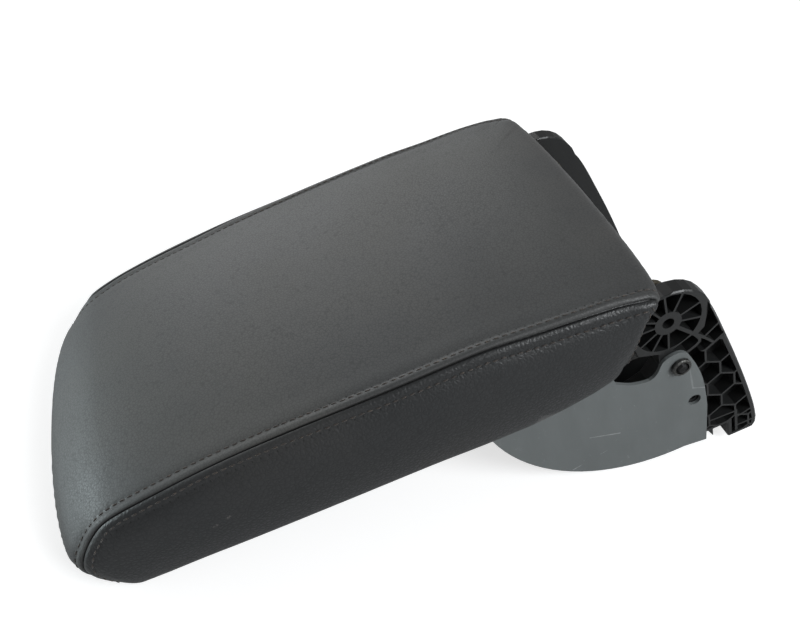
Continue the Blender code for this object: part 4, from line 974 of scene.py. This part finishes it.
def shell_object(
    name: str, grid: np.ndarray, numbers: dict[str, np.ndarray], closed: bool = False
) -> Object:
    """Makes a mesh object of sections that run round the pad, welded where they meet.

    Args:
        name: the object's name.
        grid: sections in millimetres.
        numbers: values to keep on the points, by name.
        closed: True to close the underside.

    Returns:
        The object, linked to the scene, with its mesh in metres.
    """
    count, points = grid.shape[:2]
    faces = grid_faces(count, points)
    if closed:
        faces.append([i * points + points - 1 for i in range(count)])
    mesh = bpy.data.meshes.new(name)
    mesh.from_pydata((grid.reshape(-1, 3) * MM).tolist(), [], faces)
    for key, values in numbers.items():
        kept = mesh.attributes.new(key, "FLOAT", "POINT")
        kept.data.foreach_set("value", values.reshape(-1).astype(np.float32))
    work = bmesh.new()
    work.from_mesh(mesh)
    bmesh.ops.remove_doubles(work, verts=work.verts, dist=WELD_MM * MM)
    work.to_mesh(mesh)
    work.free()
    mesh.shade_smooth()
    return linked(name, mesh)


def skin_tree(grid: np.ndarray) -> BVHTree:
    """A search tree over a grid of sections, in millimetres."""
    return BVHTree.FromPolygons([Vector(p) for p in grid.reshape(-1, 3)], grid_faces(*grid.shape[:2]))


def face_tree(mesh: Mesh) -> BVHTree:
    """A search tree over a mesh, in millimetres."""
    return BVHTree.FromPolygons([v.co / MM for v in mesh.vertices], [p.vertices for p in mesh.polygons])


def applied(obj: Object) -> Mesh:
    """The mesh of an object with its modifiers applied."""
    bpy.context.view_layer.update()
    return bpy.data.meshes.new_from_object(obj.evaluated_get(bpy.context.evaluated_depsgraph_get()))


# Stitches


@dataclass
class StitchTree:
    """A Geometry Nodes tree that sews thread along a line, in long beads that taper at their ends."""

    material: Material

    def build(self) -> GeometryNodeTree:
        """Builds the tree.

        Returns:
            The tree, which takes a line and gives its stitches.
        """
        tree = bpy.data.node_groups.new("sewn row", "GeometryNodeTree")
        tree.interface.new_socket("Line", in_out="INPUT", socket_type="NodeSocketGeometry")
        tree.interface.new_socket("Stitches", in_out="OUTPUT", socket_type="NodeSocketGeometry")
        made = Wiring(tree)
        line = made.node("NodeGroupInput").outputs["Line"]
        curve = made.node("GeometryNodeMeshToCurve", {0: line}).outputs[0]
        inputs = {"Curve": curve, "Length": STITCH_PITCH_MM * MM}
        even = made.node("GeometryNodeResampleCurve", inputs, mode="LENGTH").outputs[0]
        inputs = {"Segments": 8, "Rings": 6, "Radius": 0.5}
        bead = made.node("GeometryNodeMeshUVSphere", inputs).outputs["Mesh"]
        size = (STITCH_LENGTH_MM * MM, STITCH_WIDTH_MM * MM, STITCH_WIDTH_MM * MM)
        shape = made.node("GeometryNodeTransform", {"Geometry": bead, "Scale": size}).outputs[0]
        inputs = {"Min": (-STITCH_WANDER,) * 3, "Max": (STITCH_WANDER,) * 3, "Seed": SEED}
        wander = made.node("FunctionNodeRandomValue", inputs, data_type="FLOAT_VECTOR").outputs["Value"]
        tangent = made.node("GeometryNodeInputTangent").outputs[0]
        heading = made.node("ShaderNodeVectorMath", {0: tangent, 1: wander}).outputs[0]
        named = made.node("GeometryNodeInputNamedAttribute", {"Name": "outward"}, data_type="FLOAT_VECTOR")
        inputs = {"Vector": named.outputs["Attribute"]}
        stand = made.node("FunctionNodeAlignRotationToVector", inputs, axis="Z").outputs[0]
        inputs = {"Rotation": stand, "Vector": heading}
        point = made.node("FunctionNodeAlignRotationToVector", inputs, axis="X", pivot_axis="Z").outputs[0]
        inputs = {"Points": even, "Instance": shape, "Rotation": point}
        beads = made.node("GeometryNodeInstanceOnPoints", inputs).outputs[0]
        real = made.node("GeometryNodeRealizeInstances", {0: beads}).outputs[0]
        inputs = {"Geometry": real, "Material": self.material}
        dressed = made.node("GeometryNodeSetMaterial", inputs).outputs[0]
        made.put(made.node("NodeGroupOutput").inputs[0], dressed)
        return tree


def stitched(name: str, path: np.ndarray, outward: np.ndarray, tree: GeometryNodeTree) -> Object:
    """Runs the stitch tree along one line and keeps the result as a plain mesh.

    Args:
        name: the piece's name.
        path: points of the line in millimetres.
        outward: the skin's normal at each point.
        tree: the stitch tree.

    Returns:
        The row of stitches.
    """
    mesh = bpy.data.meshes.new(name)
    raised = path + outward * 0.05
    mesh.from_pydata((raised * MM).tolist(), [(i, i + 1) for i in range(len(path) - 1)], [])
    kept = mesh.attributes.new("outward", "FLOAT_VECTOR", "POINT")
    kept.data.foreach_set("vector", outward.reshape(-1).astype(np.float32))
    row = linked(name, mesh)
    row.modifiers.new("sewing", "NODES").node_group = tree
    made = applied(row)
    row.modifiers.clear()
    row.data = made
    made.shade_smooth()
    return row


# The rigid pieces


@dataclass
class RigidPieces:
    """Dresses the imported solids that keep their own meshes."""

    finishes: tuple

    def dress(self) -> int:
        """Gives each solid its material.

        Returns:
            How many solids were dressed.
        """
        materials = [finish.build() for finish, _ in self.finishes]
        count = 0
        for material, (_, starts) in zip(materials, self.finishes):
            for node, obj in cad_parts.items():
                if node.startswith(starts):
                    obj.data.materials.clear()
                    obj.data.materials.append(material)
                    count += 1
        return count


@dataclass
class FoamCore:
    """The moulded foam under the leather, its lower edge raised towards the front middle."""

    form: PadForm
    finish: FoamFinish
    raise_mm: Table = ((-250.0, 0.0), (-266.0, 2.5), (-273.0, 7.5))
    room_roof_mm: float = 113.3
    roof_band_mm: float = 0.2
    weld_mm: float = 0.01
    cuts_across_mm: range = range(-81, 82, 6)
    cuts_along_mm: range = range(-270, -243, 4)

    def build(self) -> Object:
        """Builds the foam.

        Returns:
            The foam piece.
        """
        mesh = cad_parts["foam_pad"].data.copy()
        mesh.name = "foam_core"
        work = bmesh.new()
        work.from_mesh(mesh)
        bmesh.ops.remove_doubles(work, verts=work.verts, dist=self.weld_mm * MM)
        cuts = [((place, 0.0, 0.0), (1.0, 0.0, 0.0)) for place in self.cuts_across_mm]
        cuts += [((0.0, place, 0.0), (0.0, 1.0, 0.0)) for place in self.cuts_along_mm]
        for place, normal in cuts:
            geom = [*work.verts, *work.edges, *work.faces]
            plane = {"plane_co": Vector(place) * MM, "plane_no": normal}
            bmesh.ops.bisect_plane(work, geom=geom, dist=self.weld_mm * MM, **plane)
        bmesh.ops.triangulate(work, faces=work.faces)
        x, y, z = np.array([v.co / MM for v in work.verts]).T
        outline_y = self.form.outline_y(x, y)
        raised = smooth_value(self.raise_mm, outline_y)
        low = self.form.level_mm + smooth_value(self.form.bottom_mm, outline_y) - raised
        top = self.form.top(x, y)
        roof = np.abs(z - self.room_roof_mm) < self.roof_band_mm
        share = np.where(roof, 0.0, np.clip((top - z) / (top - low), 0.0, 1.0))
        for vert, rise in zip(work.verts, raised * share):
            vert.co.z += rise * MM
        work.to_mesh(mesh)
        work.free()
        mesh.materials.clear()
        mesh.materials.append(self.finish.build())
        return linked("foam_core", mesh)


# The studio


@dataclass(frozen=True)
class Lamp:
    """A square soft light that faces the middle of the lid; its power is in watts."""

    name: str
    place: Triple
    size: float
    power: float
    colour: Triple = (1.0, 1.0, 1.0)
    aim: Triple = (0.0, -0.11, 0.08)

    def build(self) -> None:
        """Hangs the lamp in its place."""
        data = bpy.data.lights.new(self.name, "AREA")
        data.shape = "SQUARE"
        data.size = self.size
        data.energy = self.power
        data.color = self.colour
        lamp = linked(self.name, data)
        lamp.location = self.place
        lamp.rotation_mode = "QUATERNION"
        lamp.rotation_quaternion = (Vector(self.aim) - Vector(self.place)).to_track_quat("-Z", "Y")


@dataclass(frozen=True)
class Studio:
    """Floor, lamps, world and camera, set to the photograph's view."""

    camera_place: tuple[float, float, float] = (0.322106, -0.108849, 0.380942)
    camera_right: tuple[float, float, float] = (0.28476, 0.91879, -0.27338)
    camera_down: tuple[float, float, float] = (0.61463, -0.39385, -0.68345)
    camera_forward: tuple[float, float, float] = (-0.73562, 0.02659, -0.67687)
    lens_mm: float = 39.42
    floor_touch_mm: tuple[float, float] = (-245.0, 77.4)
    floor_slope: float = 0.3315
    floor_size: float = 6.0
    floor_grey: float = 0.55
    floor_glow: float = 0.69
    world_light: float = 0.20
    lamps: tuple[Lamp, ...] = (
        Lamp("far side light", (-1.2, -0.15, 0.9), 1.0, 7.4),
        Lamp("front light", (-0.6, -1.5, 0.5), 0.9, 26.0, (0.84, 0.97, 1.0)),
        Lamp("rear light", (1.0, 0.8, 0.68), 0.7, 16.5, (0.95, 0.98, 1.0)),
    )

    def camera(self) -> None:
        """Makes the camera at the photograph's viewing angle."""
        data = bpy.data.cameras.new("camera")
        data.lens = self.lens_mm
        data.sensor_width = 36.0
        data.sensor_fit = "HORIZONTAL"
        data.clip_start = 0.01
        columns = [Vector(self.camera_right), -Vector(self.camera_down), -Vector(self.camera_forward)]
        turn = Matrix(columns).transposed().to_4x4()
        camera = linked("camera", data)
        camera.matrix_world = Matrix.Translation(self.camera_place) @ turn
        bpy.context.scene.camera = camera

    def floor(self) -> None:
        """Lays the pale floor that the lid's front and the side plates rest on, seen from above only."""
        y, z = (v * MM for v in self.floor_touch_mm)
        half = self.floor_size / 2
        mesh = bpy.data.meshes.new("floor")
        signs = ((-1, -1), (1, -1), (1, 1), (-1, 1))
        corners = [(sx * half, y + sy * half, z - sy * half * self.floor_slope) for sx, sy in signs]
        mesh.from_pydata(corners, [], [(0, 1, 2, 3)])
        floor = linked("floor", mesh)
        material = bpy.data.materials.new("floor")
        material.use_nodes = True
        nodes = material.node_tree.nodes
        nodes.remove(nodes["Principled BSDF"])
        made = Wiring(material.node_tree)
        matt = made.node("ShaderNodeBsdfDiffuse", {"Color": (self.floor_grey,) * 3}).outputs[0]
        seen = made.node("ShaderNodeLightPath").outputs["Is Camera Ray"]
        level = made.node("ShaderNodeMath", {0: seen, 1: self.floor_glow}, operation="MULTIPLY").outputs[0]
        glow = made.node("ShaderNodeEmission", {"Strength": level}).outputs[0]
        total = made.node("ShaderNodeAddShader", {0: matt, 1: glow}).outputs[0]
        clear = made.node("ShaderNodeBsdfTransparent").outputs[0]
        under = made.node("ShaderNodeNewGeometry").outputs["Backfacing"]
        either = made.node("ShaderNodeMixShader", {0: under, 1: total, 2: clear}).outputs[0]
        made.put(nodes["Material Output"].inputs["Surface"], either)
        mesh.materials.append(material)

    def world(self) -> None:
        """A backdrop that is white to the camera and lights the object dimly and evenly."""
        world = bpy.data.worlds.new("studio")
        bpy.context.scene.world = world
        world.use_nodes = True
        made = Wiring(world.node_tree)
        seen = made.node("ShaderNodeLightPath").outputs["Is Camera Ray"]
        inputs = {0: seen, 2: self.world_light, 3: 1.0}
        level = made.node("ShaderNodeMix", inputs, data_type="FLOAT").outputs[0]
        background = world.node_tree.nodes["Background"]
        made.put(background.inputs["Strength"], level)
        made.put(background.inputs["Color"], (1.0, 1.0, 1.0))

    def build(self) -> None:
        """Sets up the whole studio."""
        bpy.context.scene.view_settings.view_transform = "Standard"
        self.camera()
        self.floor()
        self.world()
        for lamp in self.lamps:
            lamp.build()


# Marks of wear, as the two ends of each line in metres, with the strength of a scratch
SIDE_SCUFFS = (
    ((0.0885, -0.1948, 0.1029), (0.0885, -0.1962, 0.1024)),
    ((0.0885, -0.2012, 0.1010), (0.0885, -0.2030, 0.1004)),
)
PLATE_SCRATCHES = (
    ((0.077, -0.04875, 0.0194), (0.077, -0.0296, 0.02305), 0.7),
    ((0.077, -0.0371, 0.0379), (0.077, -0.02225, 0.0319), 0.55),
    ((0.077, 0.0158, 0.0553), (0.077, 0.0166, 0.0416), 0.22),
    ((0.077, 0.0166, 0.0416), (0.077, 0.02375, 0.0379), 0.3),
)

# Materials of the lid's own pieces
TOP_LEATHER = LeatherFinish(
    "leather, top panel", (0.050, 0.051, 0.051), (0.066, 0.065, 0.062), pebble_mm=0.9,
    pebble_depth_mm=0.035, roughness=0.50, stitch_row_mm=TOP_ROW_MM, shine=0.45, sheen=0.12,
)
# The side panel is the same leather as the top panel; its colour is set much darker as painted shade on the
# side that faces away from the lamps.
SIDE_LEATHER_PAINTED_SHADE = LeatherFinish(
    "leather, side panel", (0.020, 0.021, 0.022), (0.027, 0.027, 0.027), pebble_mm=1.15,
    pebble_depth_mm=0.12, roughness=0.42, stitch_row_mm=SIDE_ROW_MM, shine=0.5, sheen=0.04, scuffs=SIDE_SCUFFS,
)
THREAD = ThreadFinish("thread", (0.034, 0.025, 0.020), (0.24, 0.17, 0.11))
RIBBED_PLASTIC = PlasticFinish(
    "ribbed plastic", (0.016, 0.0165, 0.0165), (0.09, 0.09, 0.09), 0.35, 0.03, 0.38
)
PLATE_PLASTIC = PlasticFinish(
    "plate plastic", (0.150, 0.163, 0.163), (0.45, 0.46, 0.46), 0.30, 0.02, 0.5, PLATE_SCRATCHES
)
BLACK_PLASTIC = PlasticFinish("black plastic", (0.022, 0.022, 0.023), (0.06, 0.06, 0.06), 0.4, 0.03, 0.5)
NYLON = PlasticFinish("nylon", (0.55, 0.54, 0.48), (0.6, 0.6, 0.55), 0.6, 0.01, 0.4)
RUBBER = PlasticFinish("rubber", (0.018, 0.018, 0.018), (0.05, 0.05, 0.05), 0.5, 0.03, 0.8)
COLLAR_METAL = MetalFinish("collar metal", (0.13, 0.13, 0.125), (0.07, 0.07, 0.065), 0.42)
# The plate screws sit deep in the collars' bores; their steel is coloured near black as painted shade of the
# bores.
PLATE_SCREW_STEEL_PAINTED_SHADE = MetalFinish("darkened steel", (0.045, 0.045, 0.045), (0.025, 0.025, 0.025), 0.45)
SCREW_STEEL = MetalFinish("screw steel", (0.32, 0.31, 0.27), (0.18, 0.17, 0.14), 0.36)
SPRING_STEEL = MetalFinish("spring steel", (0.30, 0.29, 0.27), (0.14, 0.13, 0.11), 0.35)
ARM_STEEL = MetalFinish("arm steel", (0.26, 0.24, 0.19), (0.12, 0.10, 0.07), 0.42)
DRESS = (
    (RIBBED_PLASTIC, ("cheek_", "bracket_beam")),
    (PLATE_PLASTIC, ("side_plate_",)),
    (BLACK_PLASTIC, ("lid_carrier", "lower_shell", "latch_paddle")),
    (NYLON, ("hinge_bush_",)),
    (RUBBER, ("lid_buffer_",)),
    (COLLAR_METAL, ("plate_collar_",)),
    (PLATE_SCREW_STEEL_PAINTED_SHADE, ("plate_screw_",)),
    (SCREW_STEEL, ("beam_screw_", "arm_screw_", "shell_screw_", "latch_pin")),
    (SPRING_STEEL, ("torsion_spring_", "latch_spring")),
    (ARM_STEEL, ("hinge_arm_",)),
)


def main() -> None:
    """Builds the lid's looks in order, and reports each piece."""
    logging.basicConfig(level=logging.INFO, format="%(name)s: %(message)s")
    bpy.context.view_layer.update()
    cover, stitches = PaddedLid(PadForm(), TOP_LEATHER, SIDE_LEATHER_PAINTED_SHADE, THREAD).build()
    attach(cover, "lid")
    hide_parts("leather_cover")
    LOG.info("%s: %d faces", cover.name, len(cover.data.polygons))
    for row in stitches:
        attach(row, "lid")
        LOG.info("%s: %d faces", row.name, len(row.data.polygons))
    foam = FoamCore(PadForm(), FoamFinish()).build()
    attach(foam, "lid")
    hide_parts("foam_pad")
    LOG.info("rigid solids dressed: %d", RigidPieces(DRESS).dress())
    Studio().build()


if __name__ == "__main__":
    main()
